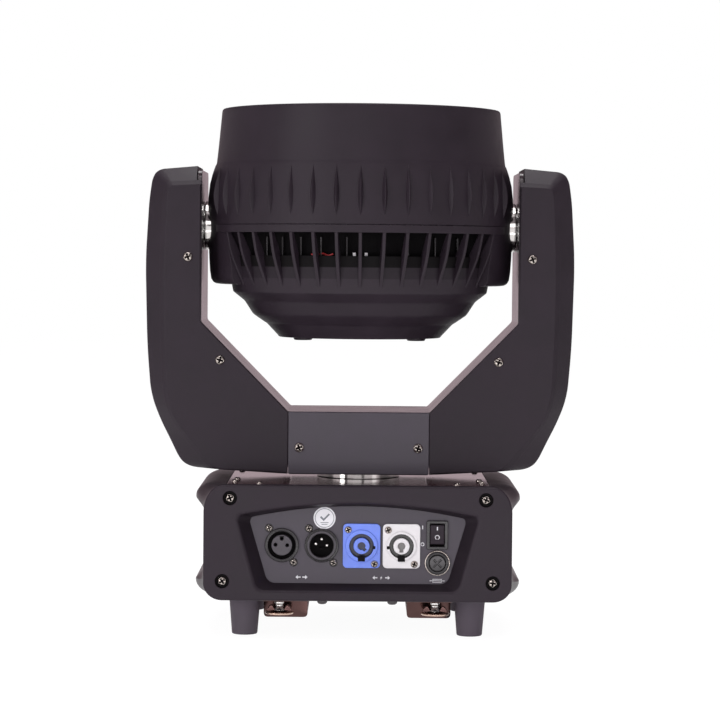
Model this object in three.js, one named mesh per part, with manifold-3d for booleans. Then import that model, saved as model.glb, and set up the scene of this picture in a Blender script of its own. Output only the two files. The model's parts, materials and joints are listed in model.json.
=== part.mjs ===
// Moving head wash light: a base with a connector panel, a yoke that pans on it, and a round head
// that tilts between the yoke's arms. Millimetres, +Z up. The origin lies on the pan axis at floor
// level, the connector panel faces -Y, and the head points straight up.

import * as THREE from 'three';
import { mergeVertices } from 'three/addons/utils/BufferGeometryUtils.js';
import Module from 'manifold-3d';

const wasm = await Module();
wasm.setup();

// ---- Driving dimensions ----------------------------------------------------------------------

const GAP = 0.3;                    // air left between neighbouring parts
const WALL = 2.5;                   // moulded plastic wall

// Base
const BASE_HALF_DEPTH = 95;         // pan axis to the face of either end bezel
const BASE_HALF_WIDTH = 106.9;      // end bezel
const BASE_BOTTOM = 26.8;
const BASE_TOP = 106.8;
const BEZEL_DEPTH = 11.1;
const TOP_CORNER = { wide: 14, high: 18 };
const BOTTOM_CORNER = { wide: 13, high: 12 };
const COVER_SEAM = 92;              // where the side covers meet the top plate
const BULGE_HALF_WIDTH = 114.4;     // side cover above and below its hand grip
const BULGE_RUN = 31;               // length over which a side cover swells out from its ends
const GRIP = { half: 106.4, bottom: 45.5, top: 86.8, slope: 7.5 };
const RECESS = { topHalf: 85, bottomHalf: 70.5, bottom: 33.5, shoulder: 86, crown: 95 };
const TOP_PLATE_Z = 106.3;
const SHEET = 1.5;                  // sheet metal of the tray and the plates
const FOOT = { x: 79, y: 65, topRadius: 11, bottomRadius: 9 };

// Connector panel
const PANEL_Y = -83.6;              // outer face of the connector plate
const SOCKET_PITCH = 27.75;
const SOCKET_Z = 64.5;
const FIRST_SOCKET_X = -52.8;
const FLANGE = { wide: 26, high: 31, thick: 1.6, corner: 3 };
const RING_RADIUS = 11.8;
const SOCKET_BODY_RADIUS = 9.8;
const SWITCH = { x: 55.3, z: 72.4, wide: 15, high: 20 };
const FUSE = { x: 55.5, z: 52.9, radius: 8.85 };

// Mounting brackets
const BRACKET = { x: 50.4, wide: 31, bottom: 11, leg: 60, reach: 82, thick: 2 };
const LOCK = { x: 54.5, y: 71, radius: 10.2, hole: 3.4 };

// Pan drive
const PAN_PULLEY_RADIUS = 33;
const PAN_PINION_RADIUS = 11;
const PAN_MOTOR = { x: -62, y: 20 };
const PAN_BELT_Z = 62;
const PAN_BEARING = { inner: 18.4, outer: 26, bottom: 92 };
const HUB_RADIUS = 30;
const HUB_BORE = 11;

// Yoke
const YOKE_HALF_DEPTH = 42;
const YOKE_FLOOR = 110.8;
const CROSSBAR_TOP = 155;
const CROSSBAR_HALF = 50.3;         // half length of the straight crossbar
const ARM_INNER = 112.5;            // inner face of an arm
const ARM_KNEE = 218.4;             // height where the sloping part of an arm ends
const ARM_TOP = 329;
const FRAME_THICK = 3;
const BEVEL_DEPTH = 11;             // how far the arm's bevels reach back from its face

// Tilt drive
const TILT_AXIS_Z = 287;
const TILT_PULLEY_RADIUS = 30;
const TILT_PINION_RADIUS = 10;
const TILT_MOTOR_Z = 180;
const TILT_BELT_X = 128.5;
const BELT = { wide: 7, thick: 1.5 };
const TRUNNION_RADIUS = 12;
const BUSH_RADIUS = 17.6;

// Head, measured from the tilt axis
const HEAD_RADIUS = 107;
const RIM_RADIUS = 101;
const RIM_TOP = 83.7;
const BAND_BOTTOM = -5;
const CUP_TOP = -21;
const CAP_BOTTOM = -79.7;
const BOSS = { x: 41, radius: 6.75, bottom: -82.2 };
const FIN_COUNT = 40;
const FIN_THICK = 2.4;
const CHEEK = { inner: 97, outer: 109.1, halfDepth: 46, flatHalf: 31, bottom: -42, top: 37.5 };
const CHEEK_PAD = { inner: 86, halfDepth: 44, top: -3 };
const LENS_PITCH = 38;
const LENS_RADIUS = 17.6;
const LENS_PLATE_Z = 66;
const LENS_PLATE_RADIUS = 95;
const ACTUATOR = { y: -94.5, radius: 6.8, bore: 2.4, rod: 2, bottom: 0, top: 50 };

// ---- Finishes ----------------------------------------------------------------------------------

const BLACK_PLASTIC = { color: 0x39343b, roughness: 0.55, metalness: 0 };
const GLOSS_BLACK = { color: 0x2a262b, roughness: 0.3, metalness: 0 };
const BLACK_METAL = { color: 0x453f47, roughness: 0.4, metalness: 0.4 };
const GREY_METAL = { color: 0x4e4b55, roughness: 0.5, metalness: 0.3 };
const RUBBER = { color: 0x3b3940, roughness: 0.8, metalness: 0 };
const CHROME = { color: 0xc9c6c4, roughness: 0.15, metalness: 1 };
const ALUMINIUM = { color: 0xa9abb0, roughness: 0.4, metalness: 0.9 };
const BLUE_PLASTIC = { color: 0x6484e6, roughness: 0.4, metalness: 0 };
const WHITE_PLASTIC = { color: 0xebebe8, roughness: 0.4, metalness: 0 };
const CLEAR_LENS = { color: 0xdfe6ea, roughness: 0.05, metalness: 0 };
const CIRCUIT_BOARD = { color: 0x1f5a34, roughness: 0.5, metalness: 0 };

// ---- Geometry helpers --------------------------------------------------------------------------

// Merges shared vertices, drops collapsed triangles and turns the faces outwards.
function closedBody(geometry) {
  const bare = geometry.clone();
  bare.deleteAttribute('normal');
  bare.deleteAttribute('uv');
  const merged = mergeVertices(bare, 1e-4);
  const source = merged.index.array;
  const triangles = [];
  for (let i = 0; i < source.length; i += 3) {
    const [a, b, c] = [source[i], source[i + 1], source[i + 2]];
    if (a !== b && b !== c && c !== a) triangles.push([a, b, c]);
  }
  const places = merged.attributes.position;
  const corner = (index) => new THREE.Vector3().fromBufferAttribute(places, index);
  const volume = triangles.reduce((sum, [a, b, c]) => (
    sum + corner(a).dot(corner(b).cross(corner(c)))
  ), 0);
  const facingOut = volume < 0 ? triangles.map(([a, b, c]) => [a, c, b]) : triangles;
  const body = new THREE.BufferGeometry();
  body.setAttribute('position', merged.attributes.position);
  body.setIndex(facingOut.flat());
  return body;
}

function toSolid(geometry) {
  const body = closedBody(geometry);
  return new wasm.Manifold(new wasm.Mesh({
    numProp: 3,
    vertProperties: new Float32Array(body.attributes.position.array),
    triVerts: new Uint32Array(body.index.array),
  }));
}

function fromSolid(solid) {
  const { vertProperties, triVerts } = solid.getMesh();
  const geometry = new THREE.BufferGeometry();
  geometry.setAttribute('position', new THREE.BufferAttribute(new Float32Array(vertProperties), 3));
  geometry.setIndex(Array.from(triVerts));
  return geometry;
}

function cut(geometry, ...tools) {
  return fromSolid(tools.reduce((solid, tool) => solid.subtract(toSolid(tool)), toSolid(geometry)));
}

function join(geometry, ...others) {
  return fromSolid(others.reduce((solid, other) => solid.add(toSolid(other)), toSolid(geometry)));
}

function common(geometry, other) {
  return fromSolid(toSolid(geometry).intersect(toSolid(other)));
}

// A closed outline from [x, y] or [x, y, radius] corners.
function outline(corners) {
  const shape = new THREE.Shape();
  corners.forEach(([x, y, radius = 0], i) => {
    const here = new THREE.Vector2(x, y);
    const towards = ([tx, ty]) => new THREE.Vector2(tx, ty).sub(here).normalize();
    const back = towards(corners.at(i - 1));
    const ahead = towards(corners[(i + 1) % corners.length]);
    const reach = radius / Math.tan(Math.acos(THREE.MathUtils.clamp(back.dot(ahead), -1, 1)) / 2);
    const from = here.clone().addScaledVector(back, reach);
    const to = here.clone().addScaledVector(ahead, reach);
    if (i === 0) shape.moveTo(from.x, from.y);
    else shape.lineTo(from.x, from.y);
    if (radius > 0) shape.quadraticCurveTo(x, y, to.x, to.y);
  });
  shape.closePath();
  return shape;
}

function rectangle(x, y, halfWide, halfHigh, radius = 0) {
  return outline([
    [x - halfWide, y - halfHigh, radius],
    [x + halfWide, y - halfHigh, radius],
    [x + halfWide, y + halfHigh, radius],
    [x - halfWide, y + halfHigh, radius],
  ]);
}

function disc(x, y, radius) {
  const shape = new THREE.Shape();
  shape.absarc(x, y, radius, 0, 2 * Math.PI);
  return shape;
}

function extrude(shape, depth, curveSegments) {
  return new THREE.ExtrudeGeometry(shape, { depth, curveSegments, bevelEnabled: false });
}

// Extrudes an outline drawn in (x, y) from z0 to z1.
function extrudeZ(shape, z0, z1, curveSegments = 3) {
  return extrude(shape, z1 - z0, curveSegments).translate(0, 0, z0);
}

// Extrudes an outline drawn in (x, z) from y0 to y1.
function extrudeY(shape, y0, y1, curveSegments = 3) {
  return extrude(shape, y1 - y0, curveSegments).rotateX(Math.PI / 2).translate(0, y1, 0);
}

// Extrudes an outline drawn in (y, z) from x0 to x1.
function extrudeX(shape, x0, x1, curveSegments = 3) {
  const [x, y, z] = [new THREE.Vector3(1, 0, 0), new THREE.Vector3(0, 1, 0), new THREE.Vector3(0, 0, 1)];
  const turn = new THREE.Matrix4().makeBasis(y, z, x);
  return extrude(shape, x1 - x0, curveSegments).applyMatrix4(turn).translate(x0, 0, 0);
}

function box(x0, x1, y0, y1, z0, z1) {
  return extrudeZ(rectangle((x0 + x1) / 2, (y0 + y1) / 2, (x1 - x0) / 2, (y1 - y0) / 2), z0, z1);
}

// Spins a profile of [radius, height] points about Z.
function turned(profile, segments) {
  const points = profile.map(([radius, height]) => new THREE.Vector2(radius, height));
  return new THREE.LatheGeometry(points, segments).rotateX(Math.PI / 2);
}

function cylinderZ(radius, z0, z1, segments) {
  return turned([[0, z0], [radius, z0], [radius, z1], [0, z1]], segments);
}

// The same about X, with height running along +X.
function turnedX(profile, segments) {
  return turned(profile, segments).rotateY(Math.PI / 2);
}

// The same about Y, with height running along -Y, out of the connector panel.
function turnedOut(profile, segments) {
  return turned(profile, segments).rotateX(Math.PI / 2);
}

// Closes a profile on itself, for a ring-shaped solid.
const ring = (profile) => [...profile, profile[0]];

const polygonArea = (points) => THREE.ShapeUtils.area(points.map(([x, y]) => ({ x, y })));

// Skins a stack of equal-length outlines, each an { y, points: [[x, z], ...] }, and caps its ends.
function loftY(sections) {
  const count = sections[0].points.length;
  const positions = sections.flatMap(({ y, points }) => points.flatMap(([x, z]) => [x, y, z]));
  const index = [];
  for (let s = 0; s < sections.length - 1; s += 1) {
    for (let i = 0; i < count; i += 1) {
      const [a, b] = [s * count + i, s * count + ((i + 1) % count)];
      index.push(a, b, a + count, b, b + count, a + count);
    }
  }
  const cap = (section, start, flip) => {
    const contour = section.points.map(([x, z]) => new THREE.Vector2(x, z));
    for (const [a, b, c] of THREE.ShapeUtils.triangulateShape(contour, [])) {
      index.push(start + a, start + (flip ? c : b), start + (flip ? b : c));
    }
  };
  const runsClockwise = polygonArea(sections[0].points) < 0;
  cap(sections[0], 0, !runsClockwise);
  cap(sections.at(-1), (sections.length - 1) * count, runsClockwise);
  const geometry = new THREE.BufferGeometry();
  geometry.setAttribute('position', new THREE.Float32BufferAttribute(positions, 3));
  geometry.setIndex(index);
  return geometry;
}

// Moves each side of a polygon inwards by its own distance and joins the moved sides again.
function insetPolygon(points, distanceOf) {
  const direction = Math.sign(polygonArea(points));
  const sides = points.map(([x, y], i) => {
    const [nextX, nextY] = points[(i + 1) % points.length];
    const along = new THREE.Vector2(nextX - x, nextY - y).normalize();
    const inward = new THREE.Vector2(-along.y, along.x).multiplyScalar(direction * distanceOf(i));
    return { start: new THREE.Vector2(x, y).add(inward), along };
  });
  return sides.map(({ start, along }, i) => {
    const before = sides.at(i - 1);
    const turn = before.along.cross(along);
    const step = start.clone().sub(before.start).cross(along) / turn;
    const { x, y } = before.start.clone().addScaledVector(before.along, step);
    return [x, y];
  });
}

const mirrorX = (geometry) => geometry.clone().scale(-1, 1, 1);
const mirrorY = (geometry) => geometry.clone().scale(1, -1, 1);

function addPart(group, name, geometry, finish) {
  const mesh = new THREE.Mesh(closedBody(geometry), new THREE.MeshStandardMaterial(finish));
  mesh.name = name;
  group.add(mesh);
  return mesh;
}

// A loop around two pulleys, drawn as an outline with a hole, to be extruded across the belt.
function beltLoop(centre, radius, pinionCentre, pinionRadius) {
  const span = new THREE.Vector2().subVectors(pinionCentre, centre);
  const heading = span.angle();
  const lean = Math.acos((radius - pinionRadius) / span.length());
  const track = (path, lift) => {
    path.absarc(centre.x, centre.y, radius + lift, heading + lean, heading - lean + 2 * Math.PI);
    path.absarc(pinionCentre.x, pinionCentre.y, pinionRadius + lift, heading - lean, heading + lean);
    path.closePath();
    return path;
  };
  const loop = track(new THREE.Shape(), GAP + BELT.thick);
  loop.holes.push(track(new THREE.Path(), GAP));
  return loop;
}

// A flanged timing pulley's profile: rim radius, and where its belt lies along the axis.
function pulleyProfile(bore, radius, start) {
  const [lip, flange] = [2, 0.8];
  const end = start + BELT.wide;
  return [
    [bore, start - flange - GAP],
    [radius + lip, start - flange - GAP],
    [radius + lip, start - GAP],
    [radius, start - GAP],
    [radius, end + GAP],
    [radius + lip, end + GAP],
    [radius + lip, end + flange + GAP],
    [bore, end + flange + GAP],
  ];
}

// ---- Base --------------------------------------------------------------------------------------

// The rounded outline shared by both end bezels, drawn in (x, z).
function endOutline(inset) {
  const half = BASE_HALF_WIDTH - inset;
  const [low, high] = [BASE_BOTTOM + inset, BASE_TOP - inset];
  const top = [TOP_CORNER.wide - inset, TOP_CORNER.high - inset];
  const bottom = [BOTTOM_CORNER.wide - inset, BOTTOM_CORNER.high - inset];
  const quarter = Math.PI / 2;
  const shape = new THREE.Shape();
  shape.absellipse(half - bottom[0], low + bottom[1], ...bottom, -quarter, 0);
  shape.absellipse(half - top[0], high - top[1], ...top, 0, quarter);
  shape.absellipse(top[0] - half, high - top[1], ...top, quarter, 2 * quarter);
  shape.absellipse(bottom[0] - half, low + bottom[1], ...bottom, 2 * quarter, 3 * quarter);
  shape.closePath();
  return shape;
}

// The recess is a trapezium with an arched top. Its sides slope in towards the connector plate.
function recessPoints(inset, slope) {
  const topHalf = RECESS.topHalf - inset - 9 * slope;
  const bottomHalf = RECESS.bottomHalf - inset - 8 * slope;
  const low = RECESS.bottom + inset + 4.5 * slope;
  const shoulder = RECESS.shoulder - inset - 2.5 * slope;
  const crown = RECESS.crown - inset - 3 * slope;
  const arch = new THREE.QuadraticBezierCurve(
    new THREE.Vector2(topHalf - 4, shoulder + 1),
    new THREE.Vector2(0, 2 * crown - shoulder - 1),
    new THREE.Vector2(4 - topHalf, shoulder + 1),
  );
  const side = [[bottomHalf - 6, low], [bottomHalf, low + 4], [topHalf, shoulder - 5]];
  const mirrored = side.map(([x, z]) => [-x, z]).reverse();
  return [...side, ...arch.getPoints(8).map(({ x, y }) => [x, y]), ...mirrored];
}

function endBezel() {
  const [face, back] = [-BASE_HALF_DEPTH, -BASE_HALF_DEPTH + BEZEL_DEPTH];
  const funnel = (inset) => loftY([
    { y: face - 1, points: recessPoints(inset, -0.1) },
    { y: back + 1, points: recessPoints(inset, 1.1) },
  ]);
  const pocket = cut(extrudeY(endOutline(WALL), face + WALL, back + 1, 5), funnel(-WALL));
  return cut(extrudeY(endOutline(0), face, back, 5), pocket, funnel(0));
}

// A side cover's C-shaped cross-section. Swell runs from 0 at its ends to 1 along its middle.
function sideCoverSection(swell) {
  const lerp = THREE.MathUtils.lerp;
  const half = BASE_HALF_WIDTH - 0.2;
  const bulge = lerp(half, BULGE_HALF_WIDTH, swell);
  const grip = lerp(half, GRIP.half, swell);
  const [low, high] = [BASE_BOTTOM + 0.2, TOP_PLATE_Z];
  const top = [lerp(TOP_CORNER.wide, 16, swell), lerp(TOP_CORNER.high, 9.5, swell)];
  const bottom = [lerp(BOTTOM_CORNER.wide, 10, swell), lerp(BOTTOM_CORNER.high, 8, swell)];
  const path = (wall) => {
    const arc = ([wide, tall], centreX, centreZ, start) => [0, 1, 2, 3, 4].map((step) => {
      const angle = start - (step / 4) * (Math.PI / 2);
      return [centreX + (wide - wall) * Math.cos(angle), centreZ + (tall - wall) * Math.sin(angle)];
    });
    return [
      [COVER_SEAM, high - wall],
      ...arc(top, bulge - top[0], high - top[1], Math.PI / 2),
      [bulge - wall, lerp(high - top[1] - 1, GRIP.top + GRIP.slope, swell)],
      [grip - wall, GRIP.top],
      [grip - wall, GRIP.bottom],
      [bulge - wall, lerp(low + bottom[1] + 1, GRIP.bottom - GRIP.slope, swell)],
      ...arc(bottom, bulge - bottom[0], low + bottom[1], 0),
      [COVER_SEAM, low + wall],
    ];
  };
  return [...path(0), ...path(WALL).reverse()];
}

function sideCover() {
  const end = BASE_HALF_DEPTH - BEZEL_DEPTH - GAP;
  const stations = [1, 0.8, 0.6, 0.35, 0];
  const half = stations.map((s) => [end - BULGE_RUN * (1 - s), THREE.MathUtils.smoothstep(1 - s, 0, 1)]);
  const all = [...half.map(([y, swell]) => [-y, swell]), ...half.reverse()];
  return loftY(all.map(([y, swell]) => ({ y, points: sideCoverSection(swell) })));
}

function baseTray() {
  const [half, low, side] = [COVER_SEAM - GAP, BASE_BOTTOM + 0.4, 24];
  const length = BASE_HALF_DEPTH - BEZEL_DEPTH - 1;
  const tray = extrudeY(outline([
    [-half, low],
    [half, low],
    [half, low + side],
    [half - SHEET, low + side],
    [half - SHEET, low + SHEET],
    [SHEET - half, low + SHEET],
    [SHEET - half, low + side],
    [-half, low + side],
  ]), -length, length);
  const holes = lockPlaces().map(([x, y]) => extrudeZ(disc(x, y, LOCK.hole), low - 1, low + 3, 5));
  return cut(tray, ...holes);
}

function baseTopPlate() {
  const length = BASE_HALF_DEPTH - BEZEL_DEPTH - GAP;
  const plate = rectangle(0, 0, COVER_SEAM - GAP, length);
  plate.holes.push(disc(0, 0, 20));
  const { inner, outer, bottom } = PAN_BEARING;
  const under = TOP_PLATE_Z - SHEET;
  const seat = ring([[inner, bottom], [outer, bottom], [outer, under + 0.5], [inner, under + 0.5]]);
  return join(extrudeZ(plate, under, TOP_PLATE_Z, 12), turned(seat, 24));
}

// A plate set behind a recess, with round holes for what it carries.
function recessedPlate(holes) {
  const plate = rectangle(0, 64.5, 84, 33, 4);
  plate.holes.push(...holes);
  return extrudeY(plate, PANEL_Y, PANEL_Y + SHEET, 5);
}

const socketX = (place) => FIRST_SOCKET_X + place * SOCKET_PITCH;

// A round three-pole data socket: a raised ring, a recess and a body behind the plate.
function dataSocket(place, coreRadius) {
  const front = -PANEL_Y;
  return turnedOut([
    [0, front - 20],
    [SOCKET_BODY_RADIUS, front - 20],
    [SOCKET_BODY_RADIUS, front + GAP],
    [RING_RADIUS, front + GAP],
    [RING_RADIUS, front + 1.6],
    [9.4, front + 1.6],
    [9.4, front - 8],
    [coreRadius, front - 8],
    [coreRadius, front - 1],
    [0, front - 1],
  ], 18).translate(socketX(place), 0, SOCKET_Z);
}

// A locking power socket: a rectangular flange with a raised ring, a round groove and a core.
function powerSocket(place) {
  const front = -PANEL_Y;
  const flange = rectangle(socketX(place), SOCKET_Z, FLANGE.wide / 2, FLANGE.high / 2, FLANGE.corner);
  const barrel = turnedOut([
    [0, front - 22],
    [SOCKET_BODY_RADIUS, front - 22],
    [SOCKET_BODY_RADIUS, front + 1],
    [11, front + 1],
    [11, front + 3],
    [0, front + 3],
  ], 18).translate(socketX(place), 0, SOCKET_Z);
  const [inner, outer, floor, mouth] = [5.6, 8.4, front - 9, front + 4];
  const groove = turnedOut(ring([[inner, floor], [outer, floor], [outer, mouth], [inner, mouth]]), 18)
    .translate(socketX(place), 0, SOCKET_Z);
  const flangeFace = PANEL_Y - GAP;
  return cut(join(extrudeY(flange, flangeFace - FLANGE.thick, flangeFace), barrel), groove);
}

function switchHousing() {
  const { x, z, wide, high } = SWITCH;
  const bezel = extrudeY(rectangle(x, z, wide / 2, high / 2, 0.8), PANEL_Y - GAP - 1.5, PANEL_Y - GAP, 2);
  const body = extrudeY(rectangle(x, z, 6.4, 9), PANEL_Y - GAP - 1, PANEL_Y + 16);
  const pocket = extrudeY(rectangle(x, z, 4.9, 8.1), PANEL_Y - 4, PANEL_Y + 9);
  return cut(join(bezel, body), pocket);
}

// The rocker lies pressed at its top, turned back by half its throw from the level position.
const ROCKER_HALF_THROW = THREE.MathUtils.degToRad(8);
const ROCKER_PIVOT_Y = PANEL_Y + 2.2;

function switchRocker() {
  const side = outline([[-5.4, 6.9], [-4.6, 0], [-5.4, -6.9], [-2.2, -6.9], [3, -2], [3, 2], [-2.2, 6.9]]);
  return extrudeX(side, -4.6, 4.6)
    .rotateX(-ROCKER_HALF_THROW)
    .translate(SWITCH.x, ROCKER_PIVOT_Y, SWITCH.z);
}

function fuseHolder() {
  const front = -PANEL_Y;
  return turnedOut(ring([
    [3, front - 26],
    [6.4, front - 26],
    [6.4, front + GAP],
    [FUSE.radius, front + GAP],
    [FUSE.radius, front + 1.8],
    [FUSE.radius - 2, front + 2.6],
    [6, front + 2.6],
    [6, front - 3],
    [3, front - 3],
  ]), 16).translate(FUSE.x, 0, FUSE.z);
}

function fuseCap() {
  const front = -PANEL_Y;
  const cap = turnedOut([[0, front - 12], [2.5, front - 12], [2.5, front - 2.6], [5.6, front - 2.6],
    [5.6, front + 3.4], [0, front + 3.4]], 16).translate(FUSE.x, 0, FUSE.z);
  const slot = (turn) => box(-3.2, 3.2, PANEL_Y - 5, PANEL_Y - 2.4, -0.6, 0.6)
    .rotateY(turn)
    .translate(FUSE.x, 0, FUSE.z);
  return cut(cap, slot(Math.PI / 4), slot(-Math.PI / 4));
}

// Menu panel on the front face: a display window with a row of four push buttons under it.
const DISPLAY = { z: 72, halfWide: 34, halfHigh: 13 };
const BUTTON = { z: 48, pitch: 18, radius: 4.5, travel: 1 };
const buttonX = (place) => (place - 1.5) * BUTTON.pitch;

function menuPanel() {
  const window = rectangle(0, DISPLAY.z, DISPLAY.halfWide, DISPLAY.halfHigh, 1);
  const holes = [0, 1, 2, 3].map((place) => disc(buttonX(place), BUTTON.z, BUTTON.radius + GAP));
  return mirrorY(recessedPlate([window, ...holes]));
}

function displayModule() {
  const front = -PANEL_Y - 0.4;
  const glass = rectangle(0, DISPLAY.z, DISPLAY.halfWide - GAP, DISPLAY.halfHigh - GAP);
  const screen = extrudeY(glass, 78, front);
  const board = extrudeY(rectangle(0, 62, 45, 26), 73.5, 75.1);
  const standoffs = [-30, 30].map((x) => extrudeY(rectangle(x, DISPLAY.z, 2, 2), 75, 78.1));
  return join(screen, board, ...standoffs);
}

function menuButton(place) {
  const front = -PANEL_Y;
  const profile = [[0, front - 6], [6.5, front - 6], [6.5, front - 3.2], [BUTTON.radius, front - 3.2],
    [BUTTON.radius, front + 1.6], [BUTTON.radius - 0.6, front + 2.2], [0, front + 2.2]];
  return mirrorY(turnedOut(profile, 16)).translate(buttonX(place), 0, BUTTON.z);
}

function foot() {
  const top = BASE_BOTTOM + 0.1;
  return turned([
    [0, 0],
    [FOOT.bottomRadius - 0.8, 0],
    [FOOT.bottomRadius, 0.8],
    [FOOT.topRadius, top],
    [0, top],
  ], 20);
}

// An omega-shaped hanging bracket with a clamp hole in its middle, lying across the underside.
function omegaBracket() {
  const { wide, bottom, leg, reach, thick } = BRACKET;
  const top = BASE_BOTTOM + 0.1;
  const side = [[reach, top], [reach, top - thick], [leg, top - thick], [leg, bottom]];
  const inside = [[leg - thick, bottom + thick], [leg - thick, top]];
  const strip = extrudeX(outline([
    ...side,
    ...side.map(([y, z]) => [-y, z]).reverse(),
    ...inside.map(([y, z]) => [-y, z]).reverse(),
    ...inside,
  ]), -wide / 2, wide / 2);
  const half = wide / 2;
  const rounded = outline([[-half, bottom, 3], [half, bottom, 3], [half, top], [-half, top]]);
  const clampHole = extrudeZ(disc(0, 0, 6.5), bottom - 1, bottom + thick + 1, 5);
  const lockHole = (side) => {
    const hole = disc(LOCK.x - BRACKET.x, side * LOCK.y, LOCK.hole);
    return extrudeZ(hole, top - thick - 1, top + 1, 5);
  };
  return cut(common(strip, extrudeY(rounded, -reach, reach)), clampHole, lockHole(-1), lockHole(1));
}

function lockPlaces() {
  return [[-1, -1], [1, -1], [-1, 1], [1, 1]].map(([sideX, sideY]) => [sideX * LOCK.x, sideY * LOCK.y]);
}

// A quarter-turn lock: a stud through bracket and tray, with a finger disc and wings below.
function bracketLock() {
  const underFlange = BASE_BOTTOM + 0.1 - BRACKET.thick - GAP;
  const stud = turned([[0, 15], [LOCK.radius, 15], [LOCK.radius, 15.8], [4.4, 17.2], [4.4, underFlange],
    [3, underFlange], [3, 31], [0, 31]], 14);
  return join(stud, box(-8.5, 8.5, -1.3, 1.3, 15.5, 21.5));
}

function panMotor() {
  const body = box(-21, 21, -21, 21, 30, 57);
  const shaftHole = cylinderZ(3, 50, 58, 12);
  return cut(body, shaftHole).translate(PAN_MOTOR.x, PAN_MOTOR.y, 0);
}

function panPinion() {
  const profile = pulleyProfile(0, PAN_PINION_RADIUS, PAN_BELT_Z);
  profile.splice(0, 1, [0, 51], [2.6, 51], [2.6, profile[0][1]]);
  return turned(profile, 14).translate(PAN_MOTOR.x, PAN_MOTOR.y, 0);
}

function panBelt() {
  const motor = new THREE.Vector2(PAN_MOTOR.x, PAN_MOTOR.y);
  const loop = beltLoop(new THREE.Vector2(), PAN_PULLEY_RADIUS, motor, PAN_PINION_RADIUS);
  return extrudeZ(loop, PAN_BELT_Z, PAN_BELT_Z + BELT.wide, 9);
}

function addBase(group) {
  const bezel = endBezel();
  const cover = sideCover();
  const bracket = omegaBracket();
  addPart(group, 'base_tray', baseTray(), BLACK_METAL);
  addPart(group, 'base_top_plate', baseTopPlate(), BLACK_METAL);
  addPart(group, 'rear_bezel', bezel, BLACK_PLASTIC);
  addPart(group, 'front_bezel', mirrorY(bezel), BLACK_PLASTIC);
  addPart(group, 'side_cover_left', mirrorX(cover), BLACK_PLASTIC);
  addPart(group, 'side_cover_right', cover, BLACK_PLASTIC);
  const socketHoles = [0, 1, 2, 3].map((place) => disc(socketX(place), SOCKET_Z, 10.6));
  const switchHole = rectangle(SWITCH.x, SWITCH.z, 6.7, 9.3);
  const fuseHole = disc(FUSE.x, FUSE.z, 7.2);
  addPart(group, 'connector_plate', recessedPlate([...socketHoles, switchHole, fuseHole]), GREY_METAL);
  addPart(group, 'data_socket_out', dataSocket(0, 7.6), GLOSS_BLACK);
  addPart(group, 'data_socket_in', dataSocket(1, 3), GLOSS_BLACK);
  addPart(group, 'power_inlet', powerSocket(2), BLUE_PLASTIC);
  addPart(group, 'power_outlet', powerSocket(3), WHITE_PLASTIC);
  addPart(group, 'switch_housing', switchHousing(), GLOSS_BLACK);
  addPart(group, 'switch_rocker', switchRocker(), GLOSS_BLACK);
  addPart(group, 'fuse_holder', fuseHolder(), GLOSS_BLACK);
  addPart(group, 'fuse_cap', fuseCap(), GLOSS_BLACK);
  addPart(group, 'menu_panel', menuPanel(), GLOSS_BLACK);
  addPart(group, 'display_module', displayModule(), CIRCUIT_BOARD);
  for (const place of [0, 1, 2, 3]) addPart(group, `menu_button_${place + 1}`, menuButton(place), RUBBER);
  for (const [end, sideY] of [['rear', -1], ['front', 1]]) {
    for (const [hand, sideX] of [['left', -1], ['right', 1]]) {
      addPart(group, `foot_${end}_${hand}`, foot(), RUBBER).position.set(sideX * FOOT.x, sideY * FOOT.y, 0);
    }
  }
  addPart(group, 'omega_bracket_left', mirrorX(bracket), CHROME).position.x = -BRACKET.x;
  addPart(group, 'omega_bracket_right', bracket, CHROME).position.x = BRACKET.x;
  lockPlaces().forEach(([x, y], i) => {
    addPart(group, `bracket_lock_${i + 1}`, bracketLock(), CHROME).position.set(x, y, 0);
  });
  addPart(group, 'pan_motor', panMotor(), BLACK_METAL);
  addPart(group, 'pan_motor_pulley', panPinion(), ALUMINIUM);
  addPart(group, 'pan_belt', panBelt(), RUBBER);
  addPart(group, 'power_supply', box(34, 88, -20, 66, 31.5, 58), ALUMINIUM);
}

// ---- Yoke --------------------------------------------------------------------------------------

// A chrome ring on a hollow shaft, with the driven pan pulley at its foot.
function panHub() {
  const shaft = TRUNNION_RADIUS + 6;
  const [, ...pulley] = pulleyProfile(HUB_BORE, PAN_PULLEY_RADIUS, PAN_BELT_Z);
  pulley.pop();
  const shaftFoot = pulley.at(-1)[1];
  const profile = [
    [HUB_BORE, pulley[0][1]],
    ...pulley,
    [shaft, shaftFoot],
    [shaft, TOP_PLATE_Z + 0.4],
    [HUB_RADIUS, TOP_PLATE_Z + 0.4],
    [HUB_RADIUS, YOKE_FLOOR - GAP],
    [HUB_BORE, YOKE_FLOOR - GAP],
  ];
  return turned(ring(profile), 20);
}

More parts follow.
